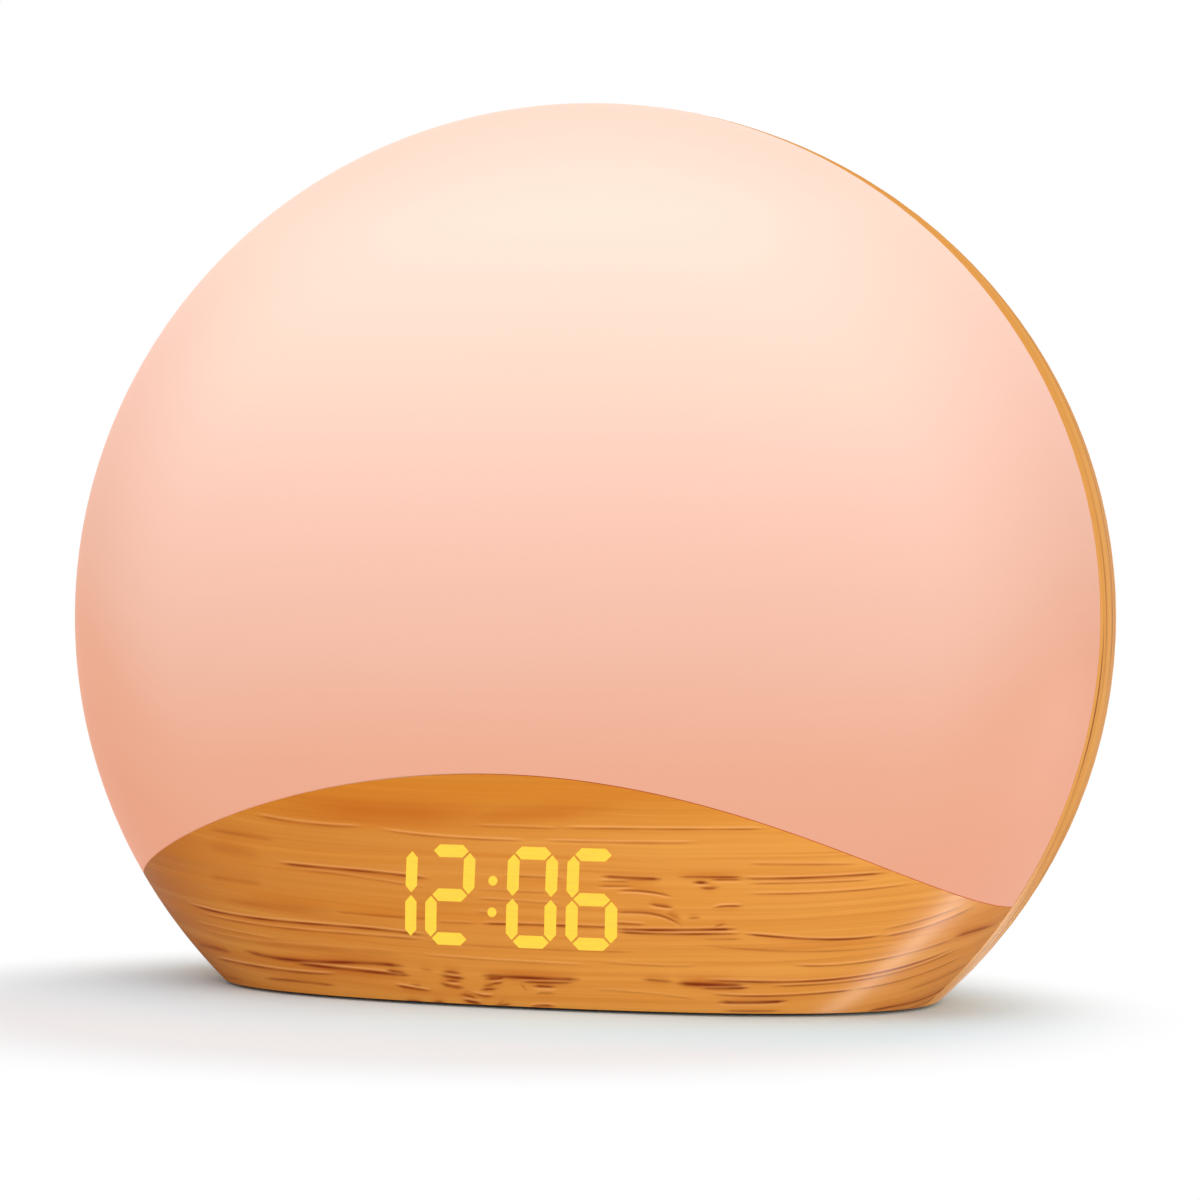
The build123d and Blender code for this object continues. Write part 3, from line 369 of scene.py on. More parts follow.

# Streaks of the print, each placed in the camera's square picture: half thickness in
# the picture's points, darkness, strength of the pale line beside it, partly print and
# partly a painted highlight (above when positive, below when negative), strength of the
# stains and painted shade round it, and the points that it runs through, across and
# down from the picture's upper left corner.
STREAKS = (
    (1.2, 0.45, 0.5, 0.2, (254, 814.7), (294, 822), (364, 827)),
    (5, 0, 0, 0.75, (262, 808), (330, 814), (400, 817), (480, 820.5), (520, 818)),
    (1.6, 0.35, 0, 0.3, (207, 829), (240, 834.5), (276, 840)),
    (3.5, 0.1, 0, 0.4, (205, 845), (262, 857)),
    (1.3, 0.9, 0.6, 0.45, (276, 862.5), (301, 866), (351, 869.6), (404, 876), (432, 879.4)),
    (0.9, 0.35, 0.3, 0.1, (297, 870), (350, 876), (404, 884.5), (432, 888.9)),
    (2.4, 0.2, 0, 0.3, (208, 876), (264, 884)),
    (3.2, 0.15, 0, 0.4, (222, 900), (284, 907), (340, 912)),
    (1, 0.45, 0, 0.3, (330, 911), (400, 917), (440, 919)),
    (1.2, 0.95, 0.6, 0.3, (186, 903), (241, 916), (284, 922), (351, 926.6), (404, 933), (432, 936.4)),
    (1, 0.5, 0.4, 0.1, (200, 913), (257, 925), (337, 933), (404, 938.5), (432, 940.8)),
    (2.5, 0.18, 0.2, 0.2, (200, 930), (244, 941), (320, 948), (410, 956)),
    (2.2, 0.55, 0, 0.4, (197, 944), (215, 948), (233, 953)),
    (2, 0.95, 0, 0.7, (242, 949.5), (284, 959), (324, 962), (400, 965.5), (408, 967)),
    (1.8, 0.95, 0.8, 0.5, (292, 963), (344, 969), (409, 975.6)),
    (1.3, 0.7, 0.6, 0.3, (216, 958), (254, 966), (297, 972), (340, 974.5)),
    (1.3, 0.7, 0, 0.4, (263, 978), (305, 982), (338, 986)),
    (1.2, 0.3, 0, 0.2, (222, 975.5), (244, 979.5)),
    (1, 0.25, 0.3, 0, (195, 922), (230, 931), (280, 940)),
    (1, 0.3, 0, 0, (420, 941), (470, 945), (560, 950), (640, 952)),
    (1, 0.3, 0.4, 0, (420, 955), (500, 961), (590, 966)),
    (3.5, 0, 0, 0.55, (420, 819), (494, 820.5), (579, 813), (640, 812)),
    (0.9, 0.5, 0.6, 0.1, (379, 829.6), (410, 834), (454, 838), (528, 841.4)),
    (0.9, 0.4, 0.5, 0.1, (540, 841), (580, 842), (700, 843)),
    (0.9, 0.55, 0.6, 0.1, (560, 828), (640, 829), (771, 829)),
    (0.9, 0.35, 0.3, 0.1, (476, 826), (560, 829)),
    (1, 0.55, 0.3, 0.2, (503, 876), (535, 877), (566, 879)),
    (0.9, 0.35, 0.3, 0.1, (474, 899), (512, 901), (566, 905)),
    (0.8, 0.3, 0.2, 0.1, (476, 890), (520, 892), (552, 893)),
    (1.1, 0.85, 0.5, 0.3, (477, 923.6), (540, 925), (619, 927.8)),
    (0.9, 0.45, 0.3, 0.1, (433, 922), (450, 922.6), (478, 924)),
    (0.9, 0.35, 0.3, 0.1, (474, 912), (500, 914)),
    (1.3, 0.95, -0.7, 0.3, (384, 969.5), (409, 973.4)),
    (1.2, 0.85, 0, 0.3, (384, 973.4), (412, 975.8)),
    (0.9, 0.4, 0, 0.2, (417, 968.4), (436, 971)),
    (1.4, 1, -0.8, 0.4, (441.5, 971.3), (452, 972.2), (463.5, 974)),
    (1.6, 1, 0, 0.5, (438.5, 974.6), (447, 976.4), (466.5, 978.6)),
    (1.1, 0.9, -0.8, 0.4, (443.5, 980), (462.8, 982)),
    (1.6, 1, 0, 0.5, (438, 982.2), (448, 985.4), (466.5, 987.6)),
    (1.2, 0.95, 0.8, 0.3, (394, 984.8), (411, 988), (433.5, 991.4)),
    (0.9, 0.55, 0, 0.2, (409, 983.8), (424.5, 986.3)),
    (1.2, 0.8, 0, 0.3, (404, 999.8), (425.7, 1002.2)),
    (1.3, 0.85, -0.5, 0.3, (432, 1001), (447, 1002.6)),
    (1.4, 0.95, 0, 0.4, (458, 994.4), (468, 995.6), (479.5, 999.3)),
    (1.6, 1, 0.8, 0.4, (461, 999.4), (471, 1001.6), (484.5, 1003.6)),
    (1.1, 0.95, 0.8, 0.2, (470, 992), (478, 994.6), (487, 996.2), (495.5, 995.5)),
    (1.2, 0.95, 0, 0.3, (479, 989.5), (499.8, 988.8)),
    (1.3, 0.85, 0, 0.3, (482, 985.8), (496, 985)),
    (1.1, 0.85, 0.6, 0.3, (487, 983), (497, 983.2), (506, 981.3)),
    (1.9, 1, 0, 0.6, (479, 975.4), (505, 976.6), (556, 979), (582, 979.4)),
    (1.6, 0.9, 0, 0.5, (483, 978.6), (498, 978.2), (509, 976.8)),
    (1.2, 0.9, 0.9, 0.3, (519, 981.6), (545, 982.6), (576, 982.6)),
    (1.2, 0.5, 0, 0.2, (508, 976.9), (530, 977)),
    (1.1, 0.9, 0, 0.1, (519, 982.6), (524, 987), (528.6, 992.2)),
    (1.4, 0.9, -0.8, 0.3, (531, 985.8), (545, 986.4), (558.5, 987)),
    (1, 0.55, 0.3, 0.2, (533, 994.6), (545, 992.8), (558, 994.4)),
    (1.3, 0.75, 0.6, 0.2, (528, 1007), (543, 1005.6), (558, 1006.8)),
    (1.4, 0.85, 0, 0.2, (491, 1005.6), (502, 1005), (514, 1003.8)),
    (0.9, 0.45, 0, 0, (505, 999), (500, 1003), (497, 1004)),
    (1.5, 0.9, 0.2, 0.5, (600, 876), (629, 877.9), (664, 879.2)),
    (0.9, 0.45, 0.6, 0.1, (596, 881.2), (632, 881.6)),
    (0.9, 0.5, -0.6, 0.1, (596, 886), (636, 886)),
    (1, 0.75, -0.8, 0.3, (615, 890.8), (638, 890.8), (652, 892.2), (674, 896.8)),
    (1.4, 1, -0.9, 0.3, (647, 903), (662.5, 906), (675, 907.4)),
    (1.1, 0.8, -0.5, 0.3, (614, 911.8), (644.6, 912.7), (662.5, 916), (685, 927.6)),
    (1.1, 0.6, 0, 0.5, (664, 913), (674, 916), (683, 921)),
    (1.1, 0.6, 0.6, 0.3, (612, 923), (648, 925)),
    (1.4, 0.95, 0.5, 0.3, (610, 929), (648, 930), (689, 930), (740, 929)),
    (1.2, 0.85, 0.9, 0.3, (612, 931.6), (655, 933.7), (700, 934), (745, 933.8)),
    (0.9, 0.4, 0, 0.2, (700, 939), (745, 939)),
    (1.5, 1, -0.8, 0.3, (691, 882.8), (701, 882.4), (711, 883.2)),
    (1.3, 0.95, 0, 0.3, (698, 887), (709, 888.2), (721, 886.6)),
    (1.1, 0.8, 0, 0.4, (676, 876.6), (707, 877), (745, 877)),
    (1.1, 0.85, -0.5, 0.3, (709, 879.6), (745, 879.4)),
    (1, 0.8, 0.8, 0.2, (711, 908.8), (719.6, 906.6), (728, 906), (745, 906)),
    (1.1, 0.6, -0.3, 0.2, (686, 918.2), (702, 917.7)),
    (1, 0.75, 0, 0.2, (712, 928.8), (716, 926.5), (728, 924.3)),
    (1.1, 0.8, 0.5, 0.4, (740, 878.6), (799, 878), (860, 875), (890, 872.6)),
    (0.9, 0.45, 0.4, 0.1, (745, 883.5), (800, 883), (876, 879.5)),
    (1, 0.4, 0.3, 0.2, (747, 864), (800, 864.5), (862, 864)),
    (0.9, 0.5, 0.4, 0.1, (745, 894), (800, 893.5), (860, 890), (914, 883.6)),
    (1.2, 0.9, 0.6, 0.3, (740, 933.6), (780, 937), (826.5, 939.4), (887.7, 934.4)),
    (1.1, 0.6, 0.7, 0.3, (880, 937), (925, 927), (978, 904.5)),
    (1, 0.5, 0.3, 0.2, (880, 930), (930, 918), (968, 903)),
    (1, 0.35, 0, 0.2, (700, 945), (780, 951), (850, 950), (900, 944)),
    (1, 0.6, 0.5, 0.2, (790, 965), (850, 964), (906, 954), (961, 936)),
    (1.9, 0.95, 0, 0.6, (952, 938.5), (975, 930.5), (1000, 922)),
    (1.2, 0.85, 0.5, 0.3, (700, 980.5), (768, 982.4), (830, 979), (880, 973), (961, 944.5)),
    (1, 0.6, 0.5, 0.2, (768, 986.4), (840, 982.5), (906, 970), (967, 944)),
    (2.3, 1, 0, 0.7, (674, 983), (705, 984.6), (748, 985.2)),
    (1.3, 0.95, 0.8, 0.3, (698, 988), (722, 988.4), (752, 987.4)),
    (1.3, 0.6, 0, 0.3, (640, 979), (676, 982)),
    (1.1, 0.75, 0.5, 0.3, (708, 994), (745, 996), (784, 995.6), (860, 989)),
    (1, 0.55, 0.3, 0.2, (850, 990), (906, 979), (967, 953.5)),
    (1.7, 1, -0.8, 0.4, (716, 1001.8), (750, 1002.4), (790, 1000.6)),
    (1.1, 0.6, 0, 0.2, (721, 1010.5), (760, 1011), (784, 1010.5)),
    (1.6, 0.8, 0, 0.5, (864, 1012.5), (895, 1006), (925, 998), (966, 972)),
    (1.1, 0.6, 0.4, 0.2, (895, 1009), (930, 1000), (962, 981)),
    (1.2, 0.45, 0, 0.3, (905, 990), (940, 978), (975, 958)),
    (0.9, 0.35, 0.3, 0, (600, 962), (660, 966), (700, 966)),
    (0.9, 0.3, 0.2, 0, (590, 990), (640, 993), (700, 1000)),
)


def oval_reach(x, z, inset=0.0):
    """Distance from the oval's middle, as a share of the oval's own half size."""
    squeeze = HALF_HEIGHT / HALF_WIDTH
    return np.hypot(x, (z - CENTRE_Z) / squeeze) / (HALF_WIDTH - inset)


def dome_depth(x, z, inset=0.0):
    """Depth of the front skin: a superellipse of the reach, rounded down to the rim."""
    reach = np.clip(oval_reach(x, z, inset), 0, 1)
    return RIM_Y - (FRONT_DEPTH - inset) * np.sqrt(1 - reach**FRONT_FULLNESS)


def hill_height(x, drop=0.0):
    """Height of the arched seam: the top of a large circle."""
    return HILL_TOP - HILL_RADIUS + np.sqrt((HILL_RADIUS - drop) ** 2 - x**2)


def cover_sheet(columns, rows, inset):
    """Grid on the cover. Each row runs from rim to rim at a share of the way from the
    flat base to the arched seam; its ends are found by halving the gap to the seam's
    depth, and its points crowd towards both ends, where the skin turns back."""
    share = np.linspace(0, 1, rows)
    limit = (1 - (SEAM_Y / (FRONT_DEPTH - inset)) ** 2) ** (1 / FRONT_FULLNESS)
    low, high = np.full(rows, ROW_END_FROM), np.full(rows, HALF_WIDTH)
    for _ in range(HALVINGS):
        end = (low + high) / 2
        inside = oval_reach(end, BASE_Z + share * (hill_height(end) - BASE_Z), inset) < limit
        low, high = np.where(inside, end, low), np.where(inside, high, end)
    along = np.linspace(-1, 1, columns)
    along = (1 - CROWDING) * along + CROWDING * np.sin(along * np.pi / 2)
    x = along[:, None] * low[None, :]
    z = BASE_Z + share[None, :] * (hill_height(x) - BASE_Z)
    return x, z


def tube_mesh(name, rings):
    """Closed surface from rings of points: neighbours are joined, both ends are capped."""
    count, size = rings.shape[:2]
    first = np.arange(count - 1)[:, None] * size
    here, after = np.arange(size)[None, :], np.roll(np.arange(size), -1)[None, :]
    corners = [first + here, first + after, first + size + after, first + size + here]
    quads = np.stack(corners, -1)
    faces = quads.reshape(-1, 4).tolist()
    faces += [list(range(size))[::-1], list(range((count - 1) * size, count * size))]
    mesh = bpy.data.meshes.new(name)
    mesh.from_pydata(rings.reshape(-1, 3).tolist(), [], faces)
    return mesh


def fibre_height(x, y, z):
    """Height of a point among the print's fibres, in millimetres: the fibres rise with
    the square of the distance at the left, and with the skin's turn back at the right."""
    x, z = x / MM, z / MM
    side = np.clip((x - TURN_FROM) / TURN_SPAN, 0, 1)
    turned_back = np.clip((y - cad_box[0].y) / FRONT_DEPTH, 0, 1)
    return z - LEFT_BOW * np.minimum(x, 0) ** 2 - side * TURN_LIFT * turned_back**TURN_POWER


def place_on_print(across, down):
    """Places of the picture's points on the print, as x and fibre height in millimetres:
    the camera's ray through each point is followed in small steps to the first one that
    lies behind the front skin."""
    gaze = np.array(line_of_sight.normalized())
    right = np.cross(gaze, (0, 0, 1))
    right /= np.linalg.norm(right)
    up = np.cross(right, gaze)
    aside = (across - PICTURE_SIDE / 2)[:, None] * right
    above = (PICTURE_SIDE / 2 - down)[:, None] * up
    rays = gaze + (aside + above) * CAMERA_SENSOR / CAMERA_LENS / PICTURE_SIDE
    rays /= np.linalg.norm(rays, axis=1)[:, None]
    steps = np.arange(RAY_START, RAY_END, RAY_STEP)[:, None, None]
    x, y, z = (CAMERA_PLACE + steps * rays).transpose(2, 0, 1)
    behind = (oval_reach(x, z) < 1) & (y >= dome_depth(x, z))
    first = behind.argmax(axis=0), np.arange(len(across))
    return x[first] / MM, fibre_height(x, y, z)[first]


def vessel_map(x, height):
    """Darkness, pale lines and stains of the streaks. A streak's middle is the low curve
    through its points; darkness falls off as a bell across it and fades over its ends.
    The pale line, partly print and partly a painted highlight, is a thin bell beside it;
    the stains and painted shade round it are a broad bell on its other side."""
    dark, pale, stain = np.zeros_like(x), np.zeros_like(x), np.zeros_like(x)
    for number, (thickness, strength, line, cloud, *points) in enumerate(STREAKS):
        half = thickness * POINT_WIDTH
        places, heights = place_on_print(*np.array(points).T)
        low, high = places.min(), places.max()
        curve = np.polyfit(places, heights, min(len(points) - 1, 3))
        middle = np.polyval(curve, np.clip(x, low, high))
        share = (x - low) / (high - low)
        fade = min(END_FADE, 1.2 / (high - low) + 0.06)
        window = np.clip(share / fade, 0, 1) * np.clip((1 - share) / fade, 0, 1)
        slow = np.clip(share / STAIN_AND_SHADE_FADE, 0, 1) * np.clip((1 - share) / STAIN_AND_SHADE_FADE, 0, 1)
        pulse = 0.84 + 0.16 * np.sin(x * 0.55 + number * 2.4)
        width = half * (0.5 + 0.5 * window)
        side = 1 if line > 0 else -1
        core = np.exp(-(((height - middle) / width) ** 2))
        # Pale line: partly print, partly a painted highlight beside the streak; the stains with
        # painted shade lie on its other side.
        edge = middle + side * (half + PALE_GAP)
        beside = np.exp(-(((height - edge) / PALE_HALF) ** 2))
        reach = 2 * half + STAIN_AND_SHADE_MARGIN
        around = np.exp(-(((height - middle + side * half) / reach) ** 2))
        dark = np.maximum(dark, core * window * pulse * strength)
        pale = np.maximum(pale, beside * window * abs(line))
        stain = np.maximum(stain, around * slow * cloud)
    return dark, pale * (1 - dark), stain


def base_cover():
    """The cover as rings: up its face from the base to the seam and down its inside."""
    face_x, face_z = cover_sheet(COVER_COLUMNS, COVER_ROWS, 0.0)
    back_x, back_z = cover_sheet(COVER_COLUMNS, COVER_INNER_ROWS, WALL)
    x = np.hstack([face_x, back_x[:, ::-1]])
    z = np.hstack([face_z, back_z[:, ::-1]])
    y = np.hstack([dome_depth(face_x, face_z), dome_depth(back_x, back_z, WALL)[:, ::-1]])
    mesh = tube_mesh("bamboo_cover", np.stack([x, y, z], -1))
    maps = vessel_map(x / MM, fibre_height(x, y, z))
    for layer, values in zip(PRINT_LAYERS, maps):
        attribute = mesh.attributes.new(layer, "FLOAT", "POINT")
        attribute.data.foreach_set("value", values.reshape(-1).astype(np.float32))
    return mesh


def finished(mesh, finish, body, slot, *replaced):
    """Puts a mesh into the scene with its finish, body and the nodes it stands for; slot is not used.
    """
    mesh.materials.append(finish.material)
    mesh.validate()
    piece = bpy.data.objects.new(mesh.name, mesh)
    bpy.context.scene.collection.objects.link(piece)
    mesh.shade_smooth()
    mesh.set_sharp_from_angle(angle=np.radians(SHARP_FROM))
    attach(piece, body)
    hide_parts(*replaced)


def bamboo_finish(name, wrapped):
    """Bamboo print under satin lacquer: a warm ground that lightens to the right, broad
    soft bands, fine fibres, and dark vessels with a pale line and broad stains beside
    them; the pale line is partly print and partly a painted highlight, the stains partly
    print and partly painted shade. On the cover, painted shade darkens the far left end
    and the right where the skin turns back. Fibres follow the print's flow; round the rear
    shell they run along the rim and turn level on its back."""
    finish = Finish(name, Specular_IOR_Level=0.05 if wrapped else 0.15,
                    Anisotropic=0.9, Anisotropic_Rotation=0.25, Coat_Roughness=0.35)
    place = finish.place()
    x, y, z = finish.split(place)
    deep = (y - cad_box[0].y / MM) / (FRONT_DEPTH / MM)
    if wrapped:
        level = z - CENTRE_Z / MM
        height = level * y.step(*LEVEL_DEPTH) + y.at_most(RIM_FLOW_DEPTH) * 0.9
        along = x * 0.6 + level * 0.4
    else:
        lift = ((x - TURN_FROM) / TURN_SPAN).at_least(0.0).at_most(1.0) * TURN_LIFT
        left = x.at_most(0.0)
        height = z - left * left * LEFT_BOW - lift * deep.at_least(0.0) ** TURN_POWER
        along = x
    wave = finish.noise(finish.vector(along * 0.02, 0.0, height * 0.06), 1.0, 1.0) - 0.5
    flow = height + wave * 2.5
    broad = finish.noise(finish.vector(along * 0.006, 0.0, flow * 0.22), 1.0, 2.0)
    bands = finish.noise(finish.vector(along * 0.008, 3.0, flow * 0.8), 1.0, 2.0, 0.6)
    fibres = finish.noise(finish.vector(along * 0.02, 6.0, flow * 2.6), 1.0, 2.0, 0.65)
    if wrapped:
        near = finish.noise(finish.vector(along * 0.045, 9.0, flow * 0.9), 1.0, 1.0)
        line = finish.noise(finish.vector(along * 0.03, 12.0, flow * 2.2), 1.0, 1.0)
        calm = 1.0 - level.step(*CALM_LEVEL) * y.step(*CALM_DEPTH)
        vessel = near.step(0.52, 0.66) * line.step(0.56, 0.68) * calm
        # Pale lines with a painted highlight and stains with painted shade, both partly print, beside
        # the vessels.
        pale = near.step(0.52, 0.66) * (1.0 - line).step(0.58, 0.68) * calm * 0.6
        stain = near.step(0.5, 0.75) * calm * 0.6
    else:
        vessel, pale, stain = [
            finish.node("ShaderNodeAttribute", {"attribute_name": layer}, None, 2)
            for layer in PRINT_LAYERS]
    side = (x - SIDE_FROM) / SIDE_SPAN
    ground = finish.mix(side.step(0.0, 1.0), GROUND_LEFT, GROUND_RIGHT)
    if not wrapped:
        # Painted shade where the skin turns back at the right.
        turned_shade = x.step(*TURNED_SHADE_X) * deep.step(*TURNED_SHADE_DEPTH) * 0.5
        ground = finish.mix(turned_shade, ground, TURNED_BACK_SHADE)
        # Painted shade at the far left end.
        left_end_shade = (LEFT_END_SHADE_X - x).step(0.0, LEFT_END_SHADE_SPAN) * 0.8
        ground = finish.mix(left_end_shade, ground, LEFT_END_SHADE)
        crown = z.step(*CROWN_HEIGHT) * (1.0 - deep.step(0.0, CROWN_DEPTH)) * 0.5
        ground = finish.mix(crown, ground, GROUND_CROWN)
    else:
        ground = finish.mix(0.6, ground, GROUND_WRAPPED)
    toned = finish.mix(broad.step(0.42, 0.68) * 0.4, ground, BROAD_BAND)
    banded = finish.mix(bands.step(0.48, 0.75) * 0.4, toned, DARK_BAND)
    lit = finish.mix((1.0 - bands).step(0.52, 0.8) * 0.3, banded, PALE_BAND)
    fine = finish.mix(fibres.step(0.5, 0.8) * 0.25, lit, FIBRE)
    # Stains with painted shade, then pale lines with a painted highlight, both partly print.
    stained_and_shaded = finish.mix(stain * 0.8, fine, STAIN_AND_SHADE)
    edged = finish.mix(pale * 0.75, stained_and_shaded, PALE_LINE_AND_HIGHLIGHT)
    marked = finish.mix((vessel * 1.15).at_most(1.0), edged, VESSEL)
    gloss = 0.6 + fibres * 0.12
    finish.feed(Base_Color=marked, Roughness=gloss, Coat_Weight=0.05 - vessel * 0.03)
    finish.bump(pale * 0.5 - vessel - fibres * 0.1, 0.06, 0.1)
    return finish


finished(base_cover(), bamboo_finish("bamboo_cover_print", False), "root",
         "bamboo_print", "base_front_cover")


# ---- Time figures -------------------------------------------------------------------
# Seven-segment figures, 17.6 mm high: cells of light behind the cover's thin skin. The
# lit areas read 12:06 and lie flush but for 0.04 mm. They lean 4.5 degrees to the right.
FIGURES_Z = 19.85 * MM
FIGURE_HALF_WIDTH = 3.6 * MM
FIGURE_RISE = 7.72 * MM
SEGMENT_HALF = 1.1 * MM
SEGMENT_GAP = 0.3 * MM
FIGURE_LEAN = np.tan(np.radians(4.5))
FIGURE_PLACES = (-18.95 * MM, -7.8 * MM, 7.8 * MM, 18.95 * MM)
COLON_X = 0.4 * MM
COLON_RISE = 2.75 * MM
COLON_RADIUS = 0.85 * MM
FIGURE_PROUD = 0.04 * MM
FIGURE_DEPTH = 0.4 * MM
BLUNT_END = 0.06 * MM
LIT = ("bc", "abged", "abcdef", "acdefg")
CROSS_POINTS = 7
DOT_POINTS = 15
DOT_BLUNT = 0.03


def light_cell(centre, reach, half, upright):
    """Rows of points across one lit area, as seen from the front. `reach` gives the
    places of the rows along it and `half` the half width at each; it leans with height."""
    across = np.linspace(-1, 1, CROSS_POINTS)[None, :] * half[:, None]
    along = np.repeat(reach[:, None], CROSS_POINTS, axis=1)
    x, z = (across, along) if upright else (along, -across)
    z = z + centre[1]
    x = x + centre[0] + FIGURE_LEAN * z
    z = z + FIGURES_Z
    return x, z


def segment(place, letter):
    """One of seven bars with pointed ends: a hexagon about the figure's grid line."""
    upright = letter in "bcef"
    column = {"b": 1, "c": 1, "e": -1, "f": -1}.get(letter, 0)
    row = {"a": 1, "b": 0.5, "c": -0.5, "d": -1, "e": -0.5, "f": 0.5, "g": 0}[letter]
    length = (FIGURE_RISE if upright else 2 * FIGURE_HALF_WIDTH) / 2 - SEGMENT_GAP
    shoulder = length - SEGMENT_HALF
    reach = np.array([-length, -shoulder, 0, shoulder, length])
    half = np.array([BLUNT_END, SEGMENT_HALF, SEGMENT_HALF, SEGMENT_HALF, BLUNT_END])
    middle = (column * FIGURE_HALF_WIDTH, row * FIGURE_RISE)
    return place, light_cell(middle, reach, half, upright)


def colon_dot(rise):
    """Round lit area: the half width follows a circle."""
    turn = np.linspace(DOT_BLUNT, np.pi - DOT_BLUNT, DOT_POINTS)
    reach, half = -np.cos(turn) * COLON_RADIUS, np.sin(turn) * COLON_RADIUS
    return COLON_X, light_cell((0.0, rise), reach, half, True)


def time_figures():
    """All lit areas in one mesh: each is closed by rings that cross it on the face and
    return behind."""
    areas = [segment(place, letter)
             for place, letters in zip(FIGURE_PLACES, LIT) for letter in letters]
    areas += [colon_dot(COLON_RISE), colon_dot(-COLON_RISE)]
    points, faces = [], []
    for shift, (x, z) in areas:
        x = x + shift
        front, back = dome_depth(x, z) - FIGURE_PROUD, dome_depth(x, z) + FIGURE_DEPTH
        ring = np.stack([np.hstack([x, x[:, ::-1]]), np.hstack([front, back[:, ::-1]]),
                         np.hstack([z, z[:, ::-1]])], -1)
        part = tube_mesh("lit_area", ring)
        start = len(points)
        points += [tuple(v.co) for v in part.vertices]
        faces += [[start + corner for corner in face.vertices] for face in part.polygons]
        bpy.data.meshes.remove(part)
    mesh = bpy.data.meshes.new("time_figures")
    mesh.from_pydata(points, [], faces)
    return mesh


def figure_finish():
    """Warm yellow light through the film, with a little of the film's grain in it."""
    finish = Finish("lit_figures", Base_Color=shade(110, 88, 30), Roughness=0.5,
                    Specular_IOR_Level=0.2, Emission_Strength=0.86)
    place = finish.place()
    x, y, z = finish.split(place)
    grain = finish.noise(finish.vector(x * 0.25, y, z * 2.2), 1.0, 3.0)
    glow = finish.mix(grain.step(0.35, 0.75), shade(255, 216, 62), shade(255, 206, 70))
    finish.feed(Emission_Color=glow)
    return finish


finished(time_figures(), figure_finish(), "root", "lit_segments", "lit_digits")


# ---- Rear shell ---------------------------------------------------------------------
# The deep bowl behind the rim, wrapped in the same bamboo film. Its back holds the
# control panel, the speaker's slots, the sockets and the screw seats.
dress(["rear_shell"], bamboo_finish("bamboo_shell_print", True))


# ---- Foot and underside -------------------------------------------------------------
# A black plate with a fine spark-eroded texture closes the underside; a soft rubber ring
# sits in its groove, and a small door covers the back-up cell.
def grained_finish(name, colour, roughness, grain_scale, grain_depth):
    """Plastic, rubber, paper or foam with a fine even grain and slight wear in its gloss."""
    finish = Finish(name, Specular_IOR_Level=0.4)
    place = finish.place()
    grain = finish.noise(place, grain_scale, 3.0, 0.6)
    cloud = finish.noise(place, 0.12, 2.0)
    tone = finish.mix(cloud, dimmed(colour, 0.88), dimmed(colour, 1.1))
    finish.feed(Base_Color=tone, Roughness=roughness - 0.06 + cloud * 0.12)
    finish.bump(grain, 0.5, grain_depth)
    return finish


black = grained_finish("black_plastic", shade(30, 30, 31), 0.6, 5.0, 0.05)
rubber = grained_finish("black_rubber", shade(20, 19, 19), 0.85, 3.0, 0.06)
dress(["bottom_plate", "battery_door"], black)
dress(["foot_ring"], rubber)


# ---- Buttons ------------------------------------------------------------------------
# Eight push buttons in the recess of the back, moulded in brown plastic, each with a
# raised cream mark that fingers can tell apart. Each moves on its own.
MARK_RISE = 0.12


def button_finish():
    """Satin brown caps; what stands above the cap's face is printed cream."""
    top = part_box("button_light")[1].y / MM
    finish = Finish("button_caps", Specular_IOR_Level=0.45)
    place = finish.place()
    x, y, z = finish.split(place)
    mark = y.step(top - MARK_RISE, top - MARK_RISE / 2)
    cloud = finish.noise(place, 0.15, 2.0)
    cap = finish.mix(cloud, shade(112, 70, 36), shade(128, 82, 44))
    finish.feed(Base_Color=finish.mix(mark, cap, shade(236, 222, 196)),
                Roughness=0.5 - mark * 0.1)
    finish.bump(finish.noise(place, 6.0, 3.0), 0.35, 0.03)
    return finish


moving = {joint["child"] for joint in frame["joints"]}
caps = [name for name in nodes if name.startswith("button_")
        and name.removeprefix("button_") + "_button" in moving]
dress(caps, button_finish())
dress([name for name in nodes if name.startswith("plunger_")],
      grained_finish("plunger_plastic", shade(36, 34, 32), 0.5, 6.0, 0.02))


# ---- Sockets ------------------------------------------------------------------------
# The power inlet and the charging outlet: black moulded bodies, nickel-plated brass
# pin and tin-plated folded shell.
def metal_finish(name, colour, roughness):
    """Plated or bare metal: fine drawn lines in its gloss, faint spots of tarnish."""
    finish = Finish(name, Metallic=1.0)
    place = finish.place()
    x, y, z = finish.split(place)
    lines = finish.noise(finish.vector(x * 0.4, y * 6.0, z * 6.0), 1.0, 3.0)
    spots = finish.noise(place, 0.8, 2.0)
    tone = finish.mix(spots.step(0.45, 0.8) * 0.3, colour, dimmed(colour, 0.7))
    finish.feed(Base_Color=tone, Roughness=roughness + lines * 0.15)
    finish.bump(lines, 0.2, 0.01)
    return finish


dress(["dc_jack", "usb_outlet_tongue", "board_connectors", "tact_switches", "display_block"],
      grained_finish("connector_plastic", shade(26, 26, 28), 0.5, 4.0, 0.02))
dress(["dc_jack_pin", "usb_outlet_shell", "battery_contacts"],
      metal_finish("plated_contacts", shade(214, 205, 182), 0.28))


# ---- Speaker ------------------------------------------------------------------------
# A 40 mm speaker behind the slots: pressed steel basket and magnet, black paper cone
# with a rolled edge, foam gasket.
dress(["speaker_frame", "speaker_magnet"],
      metal_finish("speaker_steel", shade(140, 140, 144), 0.4))
dress(["speaker_cone"], grained_finish("cone_paper", shade(38, 36, 34), 0.85, 2.0, 0.08))
dress(["speaker_gasket"], grained_finish("gasket_foam", shade(44, 43, 42), 0.95, 1.6, 0.15))


